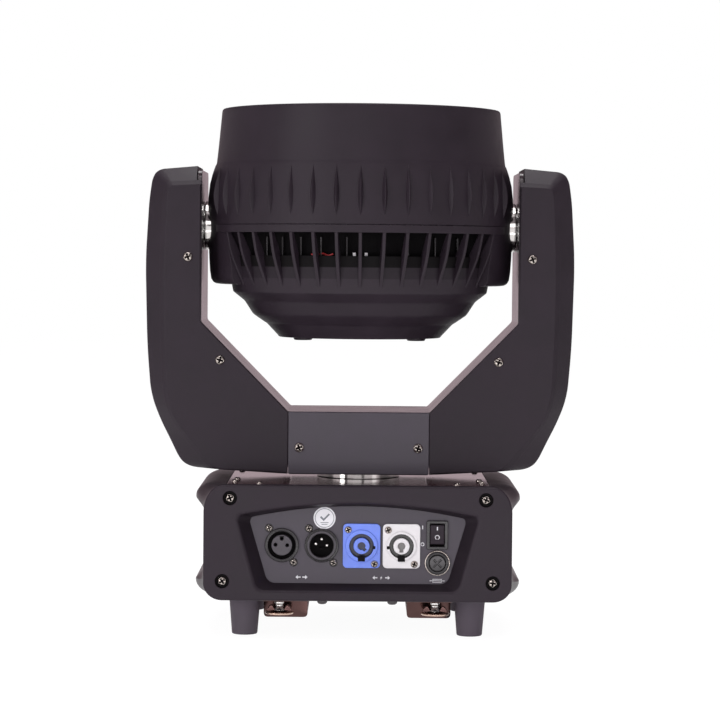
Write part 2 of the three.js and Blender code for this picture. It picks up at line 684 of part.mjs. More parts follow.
// The bent metal strip that makes both arms and the crossbar, with a boxed centre section.
function yokeFrame() {
  const halfDepth = YOKE_HALF_DEPTH - 2.8;
  const top = ARM_TOP - 3;
  const inner = [[ARM_INNER, top], [ARM_INNER, ARM_KNEE], [CROSSBAR_HALF, CROSSBAR_TOP]];
  const path = [...inner, ...inner.map(([x, z]) => [-x, z]).reverse()];
  const thickened = insetPolygon(path, (side) => (side === path.length - 1 ? 0 : -FRAME_THICK));
  const strip = extrudeY(outline([...path, ...thickened.reverse()]), -halfDepth, halfDepth);
  const half = CROSSBAR_HALF - 0.4;
  const bottom = CROSSBAR_TOP - FRAME_THICK;
  const tall = bottom - YOKE_FLOOR;
  const tube = rectangle(0, (YOKE_FLOOR + bottom + 1) / 2, half, (tall + 1) / 2);
  const room = rectangle(0, (YOKE_FLOOR + bottom) / 2, half - FRAME_THICK, tall / 2 - FRAME_THICK);
  tube.holes.push(room);
  const cable = cylinderZ(HUB_BORE, YOKE_FLOOR - 1, YOKE_FLOOR + 5, 16);
  const boreLength = 2 * ARM_INNER + 20;
  const bore = cylinderZ(TRUNNION_RADIUS + GAP, -boreLength / 2, boreLength / 2, 24)
    .rotateY(Math.PI / 2)
    .translate(0, 0, TILT_AXIS_Z);
  const shoulder = halfDepth - BEVEL_DEPTH;
  const shoulderZ = top - 15;
  const sideView = extrudeX(outline([
    [-halfDepth, 0],
    [halfDepth, 0],
    [halfDepth, shoulderZ],
    [shoulder, top],
    [-shoulder, top],
    [-halfDepth, shoulderZ],
  ]), -ARM_INNER - 5, ARM_INNER + 5);
  const frame = common(join(strip, extrudeY(tube, -halfDepth, halfDepth)), sideView);
  return cut(frame, cable, bore);
}

// An arm's silhouette from the seam at its foot round to its inner top corner, then back down its
// inner side. The face is the same outline drawn in by the bevels.
const ARM_INNER_SIDE = [[ARM_INNER + GAP, ARM_KNEE], [CROSSBAR_HALF, CROSSBAR_TOP - GAP]];
const ARM_SILHOUETTE = [
  [CROSSBAR_HALF, YOKE_FLOOR], [118, 114.2], [124.5, 116.8], [128.5, 121.5], [134, 133], [142.6, 150],
  [148.7, 167], [151.5, 202], [153, 262], [150.6, 304.5], [148.3, 321], [144, 326.5],
  [ARM_INNER + GAP, ARM_TOP], ...ARM_INNER_SIDE,
];
const ARM_FACE = [
  [CROSSBAR_HALF, YOKE_FLOOR], [99, 113.4], [104, 116], [108, 120.5], [120, 134.7], [132.5, 150],
  [137, 167], [138.6, 202], [139.5, 255], [137.5, 306], [136.5, 313], [134, 315],
  [ARM_INNER + GAP, 316], ...ARM_INNER_SIDE,
];

// The rear half of the right arm's cover. Its inner side is open, and the frame closes it.
function armCover() {
  const openSides = ARM_SILHOUETTE.length - 3;
  const inside = (points) => insetPolygon(points, (side) => (side >= openSides ? -5 : WALL));
  const face = -YOKE_HALF_DEPTH;
  const shell = loftY([
    { y: face, points: ARM_FACE },
    { y: face + BEVEL_DEPTH, points: ARM_SILHOUETTE },
    { y: -GAP / 2, points: ARM_SILHOUETTE },
  ]);
  const hollow = loftY([
    { y: face + WALL, points: inside(ARM_FACE) },
    { y: face + BEVEL_DEPTH + 1, points: inside(ARM_SILHOUETTE) },
    { y: 1, points: inside(ARM_SILHOUETTE) },
  ]);
  return cut(shell, hollow);
}

function crossbarCover() {
  const middle = (YOKE_FLOOR + CROSSBAR_TOP) / 2;
  const plate = rectangle(0, middle, CROSSBAR_HALF - GAP, CROSSBAR_TOP - middle);
  return extrudeY(plate, -YOKE_HALF_DEPTH, -YOKE_HALF_DEPTH + 2);
}

function tiltMotor() {
  const shaftHole = turnedX([[0, 120], [3, 120], [3, 127], [0, 127]], 12).translate(0, 0, TILT_MOTOR_Z);
  return cut(box(100, 126, -21, 21, TILT_MOTOR_Z - 21, TILT_MOTOR_Z + 21), shaftHole);
}

function tiltPinion() {
  const profile = pulleyProfile(0, TILT_PINION_RADIUS, TILT_BELT_X);
  profile.splice(0, 1, [0, 121], [2.6, 121], [2.6, profile[0][1]]);
  return turnedX(profile, 14).translate(0, 0, TILT_MOTOR_Z);
}

function tiltBelt() {
  const axis = new THREE.Vector2(0, TILT_AXIS_Z);
  const loop = beltLoop(axis, TILT_PULLEY_RADIUS, new THREE.Vector2(0, TILT_MOTOR_Z), TILT_PINION_RADIUS);
  return extrudeX(loop, TILT_BELT_X, TILT_BELT_X + BELT.wide, 9);
}

function addYoke(group) {
  const cover = armCover();
  const plate = crossbarCover();
  addPart(group, 'pan_hub', panHub(), CHROME);
  addPart(group, 'yoke_frame', yokeFrame(), BLACK_METAL);
  addPart(group, 'crossbar_cover_rear', plate, GREY_METAL);
  addPart(group, 'crossbar_cover_front', mirrorY(plate), GREY_METAL);
  addPart(group, 'arm_cover_right_rear', cover, BLACK_PLASTIC);
  addPart(group, 'arm_cover_right_front', mirrorY(cover), BLACK_PLASTIC);
  addPart(group, 'arm_cover_left_rear', mirrorX(cover), BLACK_PLASTIC);
  addPart(group, 'arm_cover_left_front', mirrorX(mirrorY(cover)), BLACK_PLASTIC);
  addPart(group, 'tilt_motor', tiltMotor(), BLACK_METAL);
  addPart(group, 'tilt_motor_pulley', tiltPinion(), ALUMINIUM);
  addPart(group, 'tilt_belt', tiltBelt(), RUBBER);
}

// ---- Head, built about the tilt axis -------------------------------------------------------------

// Room for both cheeks in the round shells of the head.
function cheekNotches() {
  const { inner, halfDepth, bottom, top } = CHEEK;
  const [side, low, high] = [halfDepth + GAP, bottom - GAP, top + GAP];
  return [box(inner - GAP, 120, -side, side, low, high), box(-120, GAP - inner, -side, side, low, high)];
}

function headHood() {
  const profile = ring([
    [HEAD_RADIUS - 0.2, 0.5],
    [HEAD_RADIUS + 0.2, 38],
    [RIM_RADIUS, 79.5],
    [RIM_RADIUS - 1, 82.7],
    [RIM_RADIUS - 2.6, RIM_TOP],
    [RIM_RADIUS - 4, RIM_TOP],
    [RIM_RADIUS - 3.5, 79],
    [HEAD_RADIUS - 2.6, 37.5],
    [HEAD_RADIUS - 3, 0.5],
  ]);
  return cut(turned(profile, 40), ...cheekNotches());
}

// A cooling fin in (radius, height), from the band down to the top step of the cap.
const FIN_PROFILE = [
  [105.6, -2], [106.4, BAND_BOTTOM], [103.3, -19], [99.7, -28], [92, -43.5],
  [90.4, -43.5], [95, CUP_TOP - 1], [103.9, -2],
];

function headRearHousing() {
  const outer = HEAD_RADIUS - 0.2;
  const within = outer - 3.2;
  const band = ring([[outer, 0.2], [outer, BAND_BOTTOM], [within, BAND_BOTTOM], [within, 0.2]]);
  const cup = [
    [0, CAP_BOTTOM], [58.5, CAP_BOTTOM], [67.3, -69.9], [77.3, -63.3], [83.4, -53.8], [91.7, -47.3],
    [91.7, -43.9], [96.5, CUP_TOP], [93.5, CUP_TOP], [88.7, -46], [74.5, -61],
    [56.5, CAP_BOTTOM + 3], [0, CAP_BOTTOM + 3],
  ];
  const fins = Array.from({ length: FIN_COUNT }, (_, i) => (
    extrudeY(outline(FIN_PROFILE), -FIN_THICK / 2, FIN_THICK / 2).rotateZ((i / FIN_COUNT) * 2 * Math.PI)
  ));
  const bosses = [-BOSS.x, BOSS.x].map((x) => (
    cylinderZ(BOSS.radius, BOSS.bottom, CAP_BOTTOM + 1, 14).translate(x, 0, 0)
  ));
  const { inner, halfDepth, top } = CHEEK_PAD;
  const pad = box(inner, CHEEK.inner - 2 * GAP, -halfDepth, halfDepth, CHEEK.bottom, top);
  const halfPitch = Math.PI / FIN_COUNT;
  const shells = [band, cup].map((profile) => turned(profile, FIN_COUNT).rotateZ(halfPitch));
  return cut(join(...shells, ...fins, ...bosses, pad, mirrorX(pad)), ...cheekNotches());
}

// A cheek fills the notch in the round shells and carries a trunnion on its flat outer face.
function cheek() {
  const { inner, outer, halfDepth, flatHalf, bottom, top } = CHEEK;
  const half = [[inner, halfDepth], [inner + 3, halfDepth, 1], [outer, flatHalf, 6]];
  const plan = outline([...half, ...half.map(([x, y, ...reach]) => [x, -y, ...reach]).reverse()]);
  const shoulder = 8;
  const endView = outline([
    [inner - 1, bottom],
    [outer, bottom, 4],
    [outer, top - shoulder, 4],
    [outer - shoulder, top, 2],
    [inner - 1, top],
  ]);
  return common(extrudeZ(plan, bottom, top), extrudeY(endView, -halfDepth - 1, halfDepth + 1));
}

function trunnion(end) {
  return turnedX([[0, CHEEK.outer + GAP], [BUSH_RADIUS, CHEEK.outer + GAP], [BUSH_RADIUS, ARM_INNER - 0.4],
    [TRUNNION_RADIUS, ARM_INNER - 0.4], [TRUNNION_RADIUS, end], [0, end]], 24);
}

function tiltPulley() {
  return turnedX(ring(pulleyProfile(5, TILT_PULLEY_RADIUS, TILT_BELT_X)), 20);
}

function lensPlaces() {
  const places = [];
  for (let row = -2; row <= 2; row += 1) {
    const across = 5 - Math.abs(row);
    for (let i = 0; i < across; i += 1) {
      places.push([(i - (across - 1) / 2) * LENS_PITCH, row * LENS_PITCH * Math.sqrt(0.75)]);
    }
  }
  return places;
}

// The zoom carriage's plate, pushed by a rod that runs in the actuator.
function lensPlate() {
  const top = LENS_PLATE_Z + 3;
  const plate = cylinderZ(LENS_PLATE_RADIUS, LENS_PLATE_Z, top, 30);
  const lug = box(-4, 4, -LENS_PLATE_RADIUS + 3, ACTUATOR.y - 2, LENS_PLATE_Z, top);
  const rod = cylinderZ(ACTUATOR.rod, 20, LENS_PLATE_Z + 1, 10).translate(0, ACTUATOR.y, 0);
  return join(plate, lug, rod);
}

function lensArray() {
  const back = LENS_PLATE_Z + 3 + GAP;
  const sheet = cylinderZ(LENS_PLATE_RADIUS - 1, back, back + 1.5, 30);
  const lenses = lensPlaces().map(([x, y]) => (
    turned([[0, back + 1], [LENS_RADIUS, back + 1], [LENS_RADIUS, back + 3], [0, back + 7]], 9)
      .translate(x, y, 0)
  ));
  return join(sheet, ...lenses);
}

function ledBoard() {
  return cylinderZ(87, 14, 15.6, 28);
}

// A finned heatsink under the light source board.
function heatsink() {
  const [half, depth, finCount, thick] = [72, 55, 13, 3];
  const [top, root, tip] = [13.7, 7, -3];
  const pitch = (2 * half - thick) / (finCount - 1);
  const comb = [];
  for (let i = 0; i < finCount; i += 1) {
    const left = -half + i * pitch;
    comb.push([left, root], [left, tip], [left + thick, tip], [left + thick, root]);
  }
  const base = [[half, top], [-half, top]];
  return extrudeY(outline([...comb.slice(1, -1), ...base]), -depth, depth);
}

function fanFrame() {
  const frame = rectangle(0, 0, 40, 40, 4);
  frame.holes.push(disc(0, 0, 37.5));
  const spider = [0, Math.PI / 2].map((turn) => box(-38.5, 38.5, -1.5, 1.5, -69.5, -67.5).rotateZ(turn));
  return join(extrudeZ(frame, -69.5, -52, 9), ...spider);
}

function fanRotor() {
  const hub = cylinderZ(16, -67, -54, 21);
  const pitchAngle = THREE.MathUtils.degToRad(35);
  const blades = Array.from({ length: 7 }, (_, i) => (
    box(14, 36, -0.7, 0.7, -7, 7)
      .rotateX(pitchAngle)
      .translate(0, 0, -60.5)
      .rotateZ((i / 7) * 2 * Math.PI)
  ));
  return join(hub, ...blades);
}

function zoomActuator() {
  const { y, radius, bore, bottom, top } = ACTUATOR;
  const sleeve = ring([[bore, bottom], [radius, bottom], [radius, top], [bore, top]]);
  return turned(sleeve, 16).translate(0, y, 0);
}

function addHead(group) {
  addPart(group, 'head_hood', headHood(), BLACK_PLASTIC);
  addPart(group, 'head_rear_housing', headRearHousing(), BLACK_PLASTIC);
  addPart(group, 'cheek_left', mirrorX(cheek()), BLACK_PLASTIC);
  addPart(group, 'cheek_right', cheek(), BLACK_PLASTIC);
  addPart(group, 'trunnion_left', mirrorX(trunnion(120)), CHROME);
  addPart(group, 'trunnion_right', trunnion(TILT_BELT_X - 1.4), CHROME);
  addPart(group, 'tilt_pulley', tiltPulley(), ALUMINIUM);
  addPart(group, 'lens_plate', lensPlate(), BLACK_METAL);
  addPart(group, 'lens_array', lensArray(), CLEAR_LENS);
  addPart(group, 'led_board', ledBoard(), WHITE_PLASTIC);
  addPart(group, 'heatsink', heatsink(), ALUMINIUM);
  addPart(group, 'fan_frame', fanFrame(), GLOSS_BLACK);
  addPart(group, 'fan_rotor', fanRotor(), GLOSS_BLACK);
  addPart(group, 'zoom_actuator', zoomActuator(), BLACK_METAL);
}

// ---- Assembly ------------------------------------------------------------------------------------

const light = new THREE.Group();
const base = new THREE.Group();
const yoke = new THREE.Group();
const head = new THREE.Group();
addBase(base);
addYoke(yoke);
addHead(head);
head.position.z = TILT_AXIS_Z;
yoke.add(head);
light.add(base, yoke);

export default light;
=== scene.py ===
import json
import math

import bmesh
import bpy
from mathutils import Matrix, Vector
from mathutils.geometry import tessellate_polygon

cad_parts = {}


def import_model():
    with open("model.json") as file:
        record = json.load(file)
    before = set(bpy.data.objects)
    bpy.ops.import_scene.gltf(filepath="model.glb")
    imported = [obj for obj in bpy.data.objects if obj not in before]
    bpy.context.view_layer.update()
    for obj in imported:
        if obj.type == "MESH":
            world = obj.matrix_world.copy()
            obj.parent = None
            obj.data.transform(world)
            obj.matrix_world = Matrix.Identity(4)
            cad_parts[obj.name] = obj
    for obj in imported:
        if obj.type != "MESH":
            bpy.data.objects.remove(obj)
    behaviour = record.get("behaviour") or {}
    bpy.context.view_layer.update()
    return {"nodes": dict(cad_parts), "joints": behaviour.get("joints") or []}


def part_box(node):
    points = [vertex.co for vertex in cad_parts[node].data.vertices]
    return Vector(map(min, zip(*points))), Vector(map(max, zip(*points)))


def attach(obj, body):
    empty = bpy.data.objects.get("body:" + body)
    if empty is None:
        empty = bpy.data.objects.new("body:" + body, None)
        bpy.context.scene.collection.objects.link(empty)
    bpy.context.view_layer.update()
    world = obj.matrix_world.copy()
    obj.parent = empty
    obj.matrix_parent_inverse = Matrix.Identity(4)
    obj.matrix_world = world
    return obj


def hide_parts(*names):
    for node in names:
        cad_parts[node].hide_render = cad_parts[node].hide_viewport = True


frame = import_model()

# The looks of a moving head light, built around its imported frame. Shapes are worked out in
# millimetres in the frame's own axes, and piece() turns them into metres.

MM = 0.001
TURN = 2 * math.pi
SHARP_ANGLE = math.radians(38)
CORNER_PULL = math.sqrt(0.5)  # weight that makes a square corner's curve a true quarter circle
EDGE_ROUND = 0.0006           # reach of the rounded shading on every edge, in metres
SLOT_REACH, SLOT_HALF = 0.7, 0.19  # half length and half width of a screw's cross, for a head of radius 1


def box_mm(node):
    """Lowest and highest corner of a CAD node in millimetres."""
    return tuple(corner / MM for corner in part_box(node))


def centre(node):
    low, high = box_mm(node)
    return (low + high) / 2


# ---- Driving sizes, read from the frame ----

BEZEL_FACE, BEZEL_BACK = (-corner.y for corner in box_mm("rear_bezel"))
BASE_HALF_WIDTH = box_mm("rear_bezel")[1].x
BASE_BOTTOM, BASE_TOP = (corner.z for corner in box_mm("rear_bezel"))
COVER_SEAM, BULGE_HALF_WIDTH = (corner.x for corner in box_mm("side_cover_right"))
COVER_END = box_mm("side_cover_right")[1].y
TOP_PLATE = box_mm("base_top_plate")[1].z
PANEL = -box_mm("connector_plate")[0].y
HUB_BOTTOM = box_mm("pan_hub")[0].z
TILT_AXIS = centre("tilt_pulley").z
ARM_FACE = -box_mm("arm_cover_right_rear")[0].y
YOKE_FLOOR, ARM_TOP = (corner.z for corner in box_mm("arm_cover_right_rear"))
FIN_COUNT = 40

# ---- Outlines: lists of 2-D points ----


def lerp(a, b, t):
    return a + (b - a) * t


def soften(corners, reach, closed=True, steps=5):
    """Rounds each (x, y) or (x, y, own_reach) corner, from that far before it to as far after."""
    points = []
    for i, corner in enumerate(corners):
        here = Vector(corner[:2])
        own = corner[2] if len(corner) > 2 else reach
        if own <= 0 or (not closed and i in (0, len(corners) - 1)):
            points.append(here)
            continue
        before = Vector(corners[i - 1][:2]) - here
        after = Vector(corners[(i + 1) % len(corners)][:2]) - here
        start = here + before.normalized() * min(own, 0.48 * before.length)
        end = here + after.normalized() * min(own, 0.48 * after.length)
        for t in (step / steps for step in range(steps + 1)):
            weight = 1 / (1 + 2 * t * (1 - t) * (CORNER_PULL - 1))
            bent = start * (1 - t) ** 2 + here * (2 * CORNER_PULL * t * (1 - t)) + end * t**2
            points.append(bent * weight)
    return points


def arc(x, y, wide, high, start, end, steps):
    """Points of an ellipse between two shares of a turn."""
    angles = [TURN * lerp(start, end, k / steps) for k in range(steps + 1)]
    return [Vector((x + wide * math.cos(a), y + high * math.sin(a))) for a in angles]


def circle(x, y, radius, count=40):
    return arc(x, y, radius, radius, 0, 1, count)[:-1]


def rectangle(x, y, half_wide, half_high, reach=0.0, steps=5):
    corners = [(-1, -1), (1, -1), (1, 1), (-1, 1)]
    return soften([(x + i * half_wide, y + j * half_high) for i, j in corners], reach, steps=steps)


def mirrored(outline, side):
    """The outline with its x turned round where side is -1."""
    return [Vector((side * p.x, p.y)) for p in outline]


def grow(outline, distance):
    """Moves an outline outwards by a distance, or inwards if it is negative."""
    if abs(distance) < 1e-9:
        return [p.copy() for p in outline]
    area = sum(a.cross(b) for a, b in zip(outline, outline[1:] + outline[:1]))
    moved = []
    for i, here in enumerate(outline):
        ahead = outline[(i + 1) % len(outline)] - here
        back = here - outline[i - 1]
        ahead, back = (ahead if ahead.length > 1e-9 else back), (back if back.length > 1e-9 else ahead)
        ahead, back = ahead.normalized(), back.normalized()
        normal = Vector((ahead.y + back.y, -ahead.x - back.x))
        normal = normal.normalized() if normal.length > 1e-9 else Vector((ahead.y, -ahead.x))
        stretch = min(2.0, 1 / max(0.3, normal.dot(Vector((ahead.y, -ahead.x)))))
        moved.append(here + normal * (math.copysign(distance, area * distance) * stretch))
    return moved


# ---- Placing: a shape is drawn in (x, y) and stands out along its own z ----


def columns(x, y, z):
    return Matrix((x, y, z)).transposed().to_4x4()


UP = Matrix.Identity(4)
DOWN = columns((1, 0, 0), (0, -1, 0), (0, 0, -1))
REAR = columns((1, 0, 0), (0, 0, 1), (0, -1, 0))
FRONT = columns((-1, 0, 0), (0, 0, 1), (0, 1, 0))
RIGHT = columns((0, 1, 0), (0, 0, 1), (1, 0, 0))
LEFT = columns((0, -1, 0), (0, 0, 1), (-1, 0, 0))
ENDS = {"rear": REAR, "front": FRONT}
HANDS = {"left": LEFT, "right": RIGHT}


def at(place, x, y, z=0.0, turn=0.0):
    """The same placing, moved to a point of its own and turned there by a share of a turn."""
    return place @ Matrix.Translation((x, y, z)) @ Matrix.Rotation(turn * TURN, 4, "Z")


# ---- Mesh building, in millimetres. Each builder adds to bm and hands it back. ----


def new_ring(bm, place, outline, height):
    return [bm.verts.new(place @ Vector((p.x, p.y, height))) for p in outline]


def bridge(bm, a, b, finish=0):
    for i in range(max(len(a), len(b))):
        j = i + 1
        corners = [a[i % len(a)], a[j % len(a)], b[j % len(b)], b[i % len(b)]]
        corners = list(dict.fromkeys(corners))
        if len(corners) > 2:
            bm.faces.new(corners).material_index = finish


def join(bm, loops, wrap=False, capped=False):
    """Bridges a row of loops, back to the first if it wraps, or with a face over each end."""
    for a, b in zip(loops, loops[1:] + (loops[:1] if wrap else [])):
        bridge(bm, a, b)
    if capped:
        bm.faces.new(loops[0])
        bm.faces.new(loops[-1])
    return bm


def fill(bm, outlines, rings, finish=0):
    """Closes a flat face whose first outline is its edge and the others its holes."""
    flat = [[p.to_3d() for p in outline] for outline in outlines]
    verts = [v for one in rings for v in one]
    for triple in tessellate_polygon(flat):
        corners = [verts[i] for i in triple]
        if len(set(corners)) == 3 and bm.faces.get(corners) is None:
            bm.faces.new(corners).material_index = finish


def edge_rows(low, high, rounding, steps):
    """(inset, height) up a wall whose two edges are rounded."""
    if rounding <= 0:
        return [(0.0, low), (0.0, high)]
    turns = [0.25 * TURN * k / steps for k in range(steps + 1)]
    foot = [(rounding * (1 - math.sin(t)), low + rounding * (1 - math.cos(t))) for t in turns]
    return foot + [(inset, high + low - height) for inset, height in reversed(foot)]


def slab(bm, outer, holes, low, high, place=UP, rounding=0.3, steps=2):
    """A plate between two heights, with holes and rounded edges."""
    outlines, rings = [], []
    for outline, sign in ((outer, -1), *((hole, 1) for hole in holes)):
        edge = edge_rows(low, high, rounding, steps)
        rows = [(grow(outline, sign * inset), height) for inset, height in edge]
        loops = [new_ring(bm, place, points, height) for points, height in rows]
        join(bm, loops)
        outlines.append((rows[0][0], rows[-1][0]))
        rings.append((loops[0], loops[-1]))
    for end in (0, 1):
        fill(bm, [o[end] for o in outlines], [r[end] for r in rings])
    return bm


def skin(bm, rows, place=UP, wrap=False):
    """Skins (outline, height) rows of equal length. Unless it wraps round, both ends are closed."""
    loops = [new_ring(bm, place, outline, height) for outline, height in rows]
    join(bm, loops, wrap=wrap)
    for end in () if wrap else (0, -1):
        fill(bm, [rows[end][0]], [loops[end]])
    return bm


def turned(bm, profile, place=UP, rounding=0.3, segments=64, steps=2):
    """Spins (radius, height) corners about z, rounding them. Off the axis, the profile closes on itself."""
    on_axis = profile[0][0] < 1e-6
    loops = []
    for point in soften(profile, rounding, closed=not on_axis, steps=steps):
        if point.x < 1e-6:
            loops.append([bm.verts.new(place @ Vector((0, 0, point.y)))])
        else:
            loops.append(new_ring(bm, place, circle(0, 0, point.x, segments), point.y))
    return join(bm, loops, wrap=len(loops[0]) > 1)


def tube(bm, path, radius, sides=10):
    """A round wire along a path of 3-D points."""
    loops = []
    across = None
    for i, here in enumerate(path):
        along = (path[min(i + 1, len(path) - 1)] - path[max(i - 1, 0)]).normalized()
        across = along.orthogonal().normalized() if across is None else across
        across = (across - along * across.dot(along)).normalized()
        other = along.cross(across)
        ring = circle(0, 0, radius, sides)
        loops.append([bm.verts.new(here + (across * p.x + other * p.y)) for p in ring])
    return join(bm, loops, capped=True)


def curve_through(points, steps=8):
    """A smooth path through 3-D points."""
    spots = [2 * points[0] - points[1], *points, 2 * points[-1] - points[-2]]
    path = []
    for a, b, c, d in zip(spots, spots[1:], spots[2:], spots[3:]):
        for t in (step / steps for step in range(steps)):
            bend = (2 * a - 5 * b + 4 * c - d) * t**2 + (3 * b - 3 * c + d - a) * t**3
            path.append(0.5 * (2 * b + (c - a) * t + bend))
    return [*path, points[-1]]


def make_object(name, bm):
    bmesh.ops.recalc_face_normals(bm, faces=bm.faces)
    mesh = bpy.data.meshes.new(name)
    bm.to_mesh(mesh)
    bm.free()
    mesh.transform(Matrix.Scale(MM, 4))
    obj = bpy.data.objects.new(name, mesh)
    bpy.context.scene.collection.objects.link(obj)
    return obj


def cut_away(obj, cutters):
    """Cuts closed meshes out of an object for good."""
    for bm in cutters:
        step = obj.modifiers.new("cut", "BOOLEAN")
        step.operation = "DIFFERENCE"
        step.solver = "EXACT"
        step.object = make_object("cutter", bm)
    bpy.context.view_layer.update()
    seen = obj.evaluated_get(bpy.context.evaluated_depsgraph_get())
    result = bpy.data.meshes.new_from_object(seen)
    for step in obj.modifiers:
        bpy.data.objects.remove(step.object)
    obj.modifiers.clear()
    obj.data = result
    return obj


def dress(obj, body, finishes, *stands_for, slot=None):
    """Shades an object, gives it its materials and puts it on its body."""
    finishes = finishes if isinstance(finishes, list) else [finishes]
    for material in finishes:
        obj.data.materials.append(material)
    obj.data.shade_smooth()
    obj.data.set_sharp_from_angle(angle=SHARP_ANGLE)
    normals = obj.modifiers.new("normals", "WEIGHTED_NORMAL")
    normals.keep_sharp = True
    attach(obj, body)
    if stands_for:
        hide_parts(*stands_for)


def piece(name, body, bm, finishes, *stands_for, slot=None):
    dress(make_object(name, bm), body, finishes, *stands_for, slot=slot)


# ---- Materials ----


def linear(red, green, blue):
    """A display colour of 0 to 255 as linear light."""
    shares = [c / 255 for c in (red, green, blue)]
    return tuple(c / 12.92 if c <= 0.04045 else ((c + 0.055) / 1.055) ** 2.4 for c in shares) + (1.0,)


def scaled(colour, by, lift=0.0):
    return tuple(min(1.0, c * by + lift) for c in colour[:3]) + (1.0,)


def plug(tree, node, inputs):
    """Sets a node's inputs, or links those that are given another node's output."""
    for name, value in inputs.items():
        if isinstance(value, bpy.types.NodeSocket):
            tree.links.new(value, node.inputs[name])
        else:
            node.inputs[name].default_value = value


def add(tree, kind, output, inputs=(), **settings):
    """Adds a shader node and hands back one of its outputs."""
    node = tree.nodes.new("ShaderNode" + kind)
    for name, value in settings.items():
        setattr(node, name, value)
    plug(tree, node, dict(inputs))
    return node.outputs[output]


def noise(tree, spots, scale, detail):
    return add(tree, "TexNoise", "Fac", {"Vector": spots, "Scale": scale, "Detail": detail})


def remap(tree, value, low, high, to_low, to_high):
    return add(tree, "MapRange", "Result", {"Value": value, "From Min": low, "From Max": high,
                                            "To Min": to_low, "To Max": to_high})


def mix_colour(tree, factor, a, b):
    return add(tree, "Mix", "Result", {"Factor": factor, "A": a, "B": b}, data_type="RGBA")


def maths(tree, operation, a, b):
    return add(tree, "Math", 0, {0: a, 1: b}, operation=operation)


def finish(name, slot, colour, roughness, metallic=0.0, mottle=0.12, blotch=45.0, grain=0.12,
           grain_scale=1500.0, wear_and_highlight=0.35, wear_and_highlight_colour=None, specular=0.5, stretch=(1, 1, 1)):
    """A surface with uneven colour, a moulded or rolled grain and edges lightened by rubbed wear, which on
    dark chrome is also a painted highlight.

    Colours are display colours. Slot, the record's material that its pieces stand for, is not used.
    """
    material = bpy.data.materials.new(name)
    material.use_nodes = True
    tree = material.node_tree
    body = linear(*colour)
    spots = add(tree, "TexCoord", "Object")
    spots = add(tree, "Mapping", "Vector", {"Vector": spots, "Scale": stretch})
    broad = noise(tree, spots, blotch, 4.0)
    tone = remap(tree, broad, 0.3, 0.7, 0.0, 1.0)
    uneven = mix_colour(tree, tone, scaled(body, 1 - mottle), scaled(body, 1 + mottle))
    # Outside edges are where a bevelled normal leans away from the true one.
    rounded = add(tree, "Bevel", "Normal", {"Radius": EDGE_ROUND}, samples=4)
    true_normal = add(tree, "NewGeometry", "Normal")
    lean = add(tree, "VectorMath", "Value", {0: rounded, 1: true_normal}, operation="DOT_PRODUCT")
    edge = remap(tree, lean, 0.99, 0.86, 0.0, 1.0)
    patches = remap(tree, noise(tree, spots, 160.0, 3.0), 0.42, 0.66, 0.15, 1.0)
    # Lighter patches on outside edges: rubbed wear, and on dark chrome also a painted highlight.
    rubbed_and_highlit = maths(tree, "MULTIPLY", maths(tree, "MULTIPLY", edge, patches), wear_and_highlight)
    worn_and_highlit = linear(*wear_and_highlight_colour) if wear_and_highlight_colour else scaled(body, 2.2, 0.02)
    fine = noise(tree, spots, grain_scale, 2.0)
    plug(tree, tree.nodes["Principled BSDF"], {
        "Base Color": mix_colour(tree, rubbed_and_highlit, uneven, worn_and_highlit),
        "Roughness": remap(tree, broad, 0.3, 0.7, roughness * 0.9, roughness * 1.12),
        "Metallic": metallic,
        "Specular IOR Level": specular,
        "Normal": add(tree, "Bump", "Normal", {"Strength": grain, "Distance": 0.0002, "Height": fine,
                                               "Normal": rounded}),
    })
    return material


black_plastic = finish("black_plastic", "black_plastic", (42, 34, 42), 0.5, grain=0.22, grain_scale=2200,
                       specular=0.24)
cover_plastic = finish("cover_plastic", "black_plastic", (50, 41, 46), 0.36, grain=0.1)
# Painted shade: a darker black for the walls of the bezels' recesses and the fin-shaded part of the rear
# cup.
recess_painted_shade = finish("recess_painted_shade", "black_plastic", (34, 27, 34), 0.5, grain=0.2, grain_scale=2200,
                      specular=0.2)
# Painted shade: near black for counterbores, socket floors and slots, and the most shaded band of the rear
# cup.
bore_painted_shade = finish("bore_painted_shade", "gloss_black", (12, 9, 11), 0.6, grain=0.1, wear_and_highlight=0.0, specular=0.1)
# Painted shade: near black for the inside of screws' cross recesses.
slot_painted_shade = finish("slot_painted_shade", "gloss_black", (16, 10, 10), 0.6, grain=0.1, wear_and_highlight=0.0, specular=0.1)
# Painted shade: near black for a sheet lining the head behind the fins, where there is only shade.
liner_painted_shade = finish("liner_painted_shade", "black_plastic", (9, 7, 9), 0.8, grain=0.1, wear_and_highlight=0.0, specular=0.1)
gloss_black = finish("gloss_black", "gloss_black", (30, 26, 30), 0.25, grain=0.05, mottle=0.1)
black_metal = finish("black_metal", "black_metal", (52, 42, 47), 0.2, grain_scale=1300,
                     wear_and_highlight_colour=(120, 112, 116), specular=0.7)
# The top plate is black metal; its lighter pinkish colour is a painted sheen for the bright reflection it
# shows when seen edge-on.
top_painted_sheen = finish("top_painted_sheen", "black_metal", (80, 58, 63), 0.1, grain=0.04, grain_scale=900, mottle=0.1,
                   wear_and_highlight_colour=(130, 122, 126), specular=0.8)
grey_metal = finish("grey_metal", "grey_metal", (62, 55, 66), 0.45, grain=0.2, grain_scale=1400,
                    wear_and_highlight_colour=(150, 144, 150))
smoke_metal = finish("smoke_metal", "aluminium", (58, 56, 58), 0.2, metallic=0.6, grain=0.05, mottle=0.2,
                     wear_and_highlight=0.1)
rubber = finish("rubber", "rubber", (84, 76, 86), 0.72, grain=0.4, grain_scale=900, wear_and_highlight=0.25)
chrome = finish("chrome", "chrome", (214, 210, 208), 0.09, metallic=1.0, grain=0.01, mottle=0.03, wear_and_highlight=0.1)
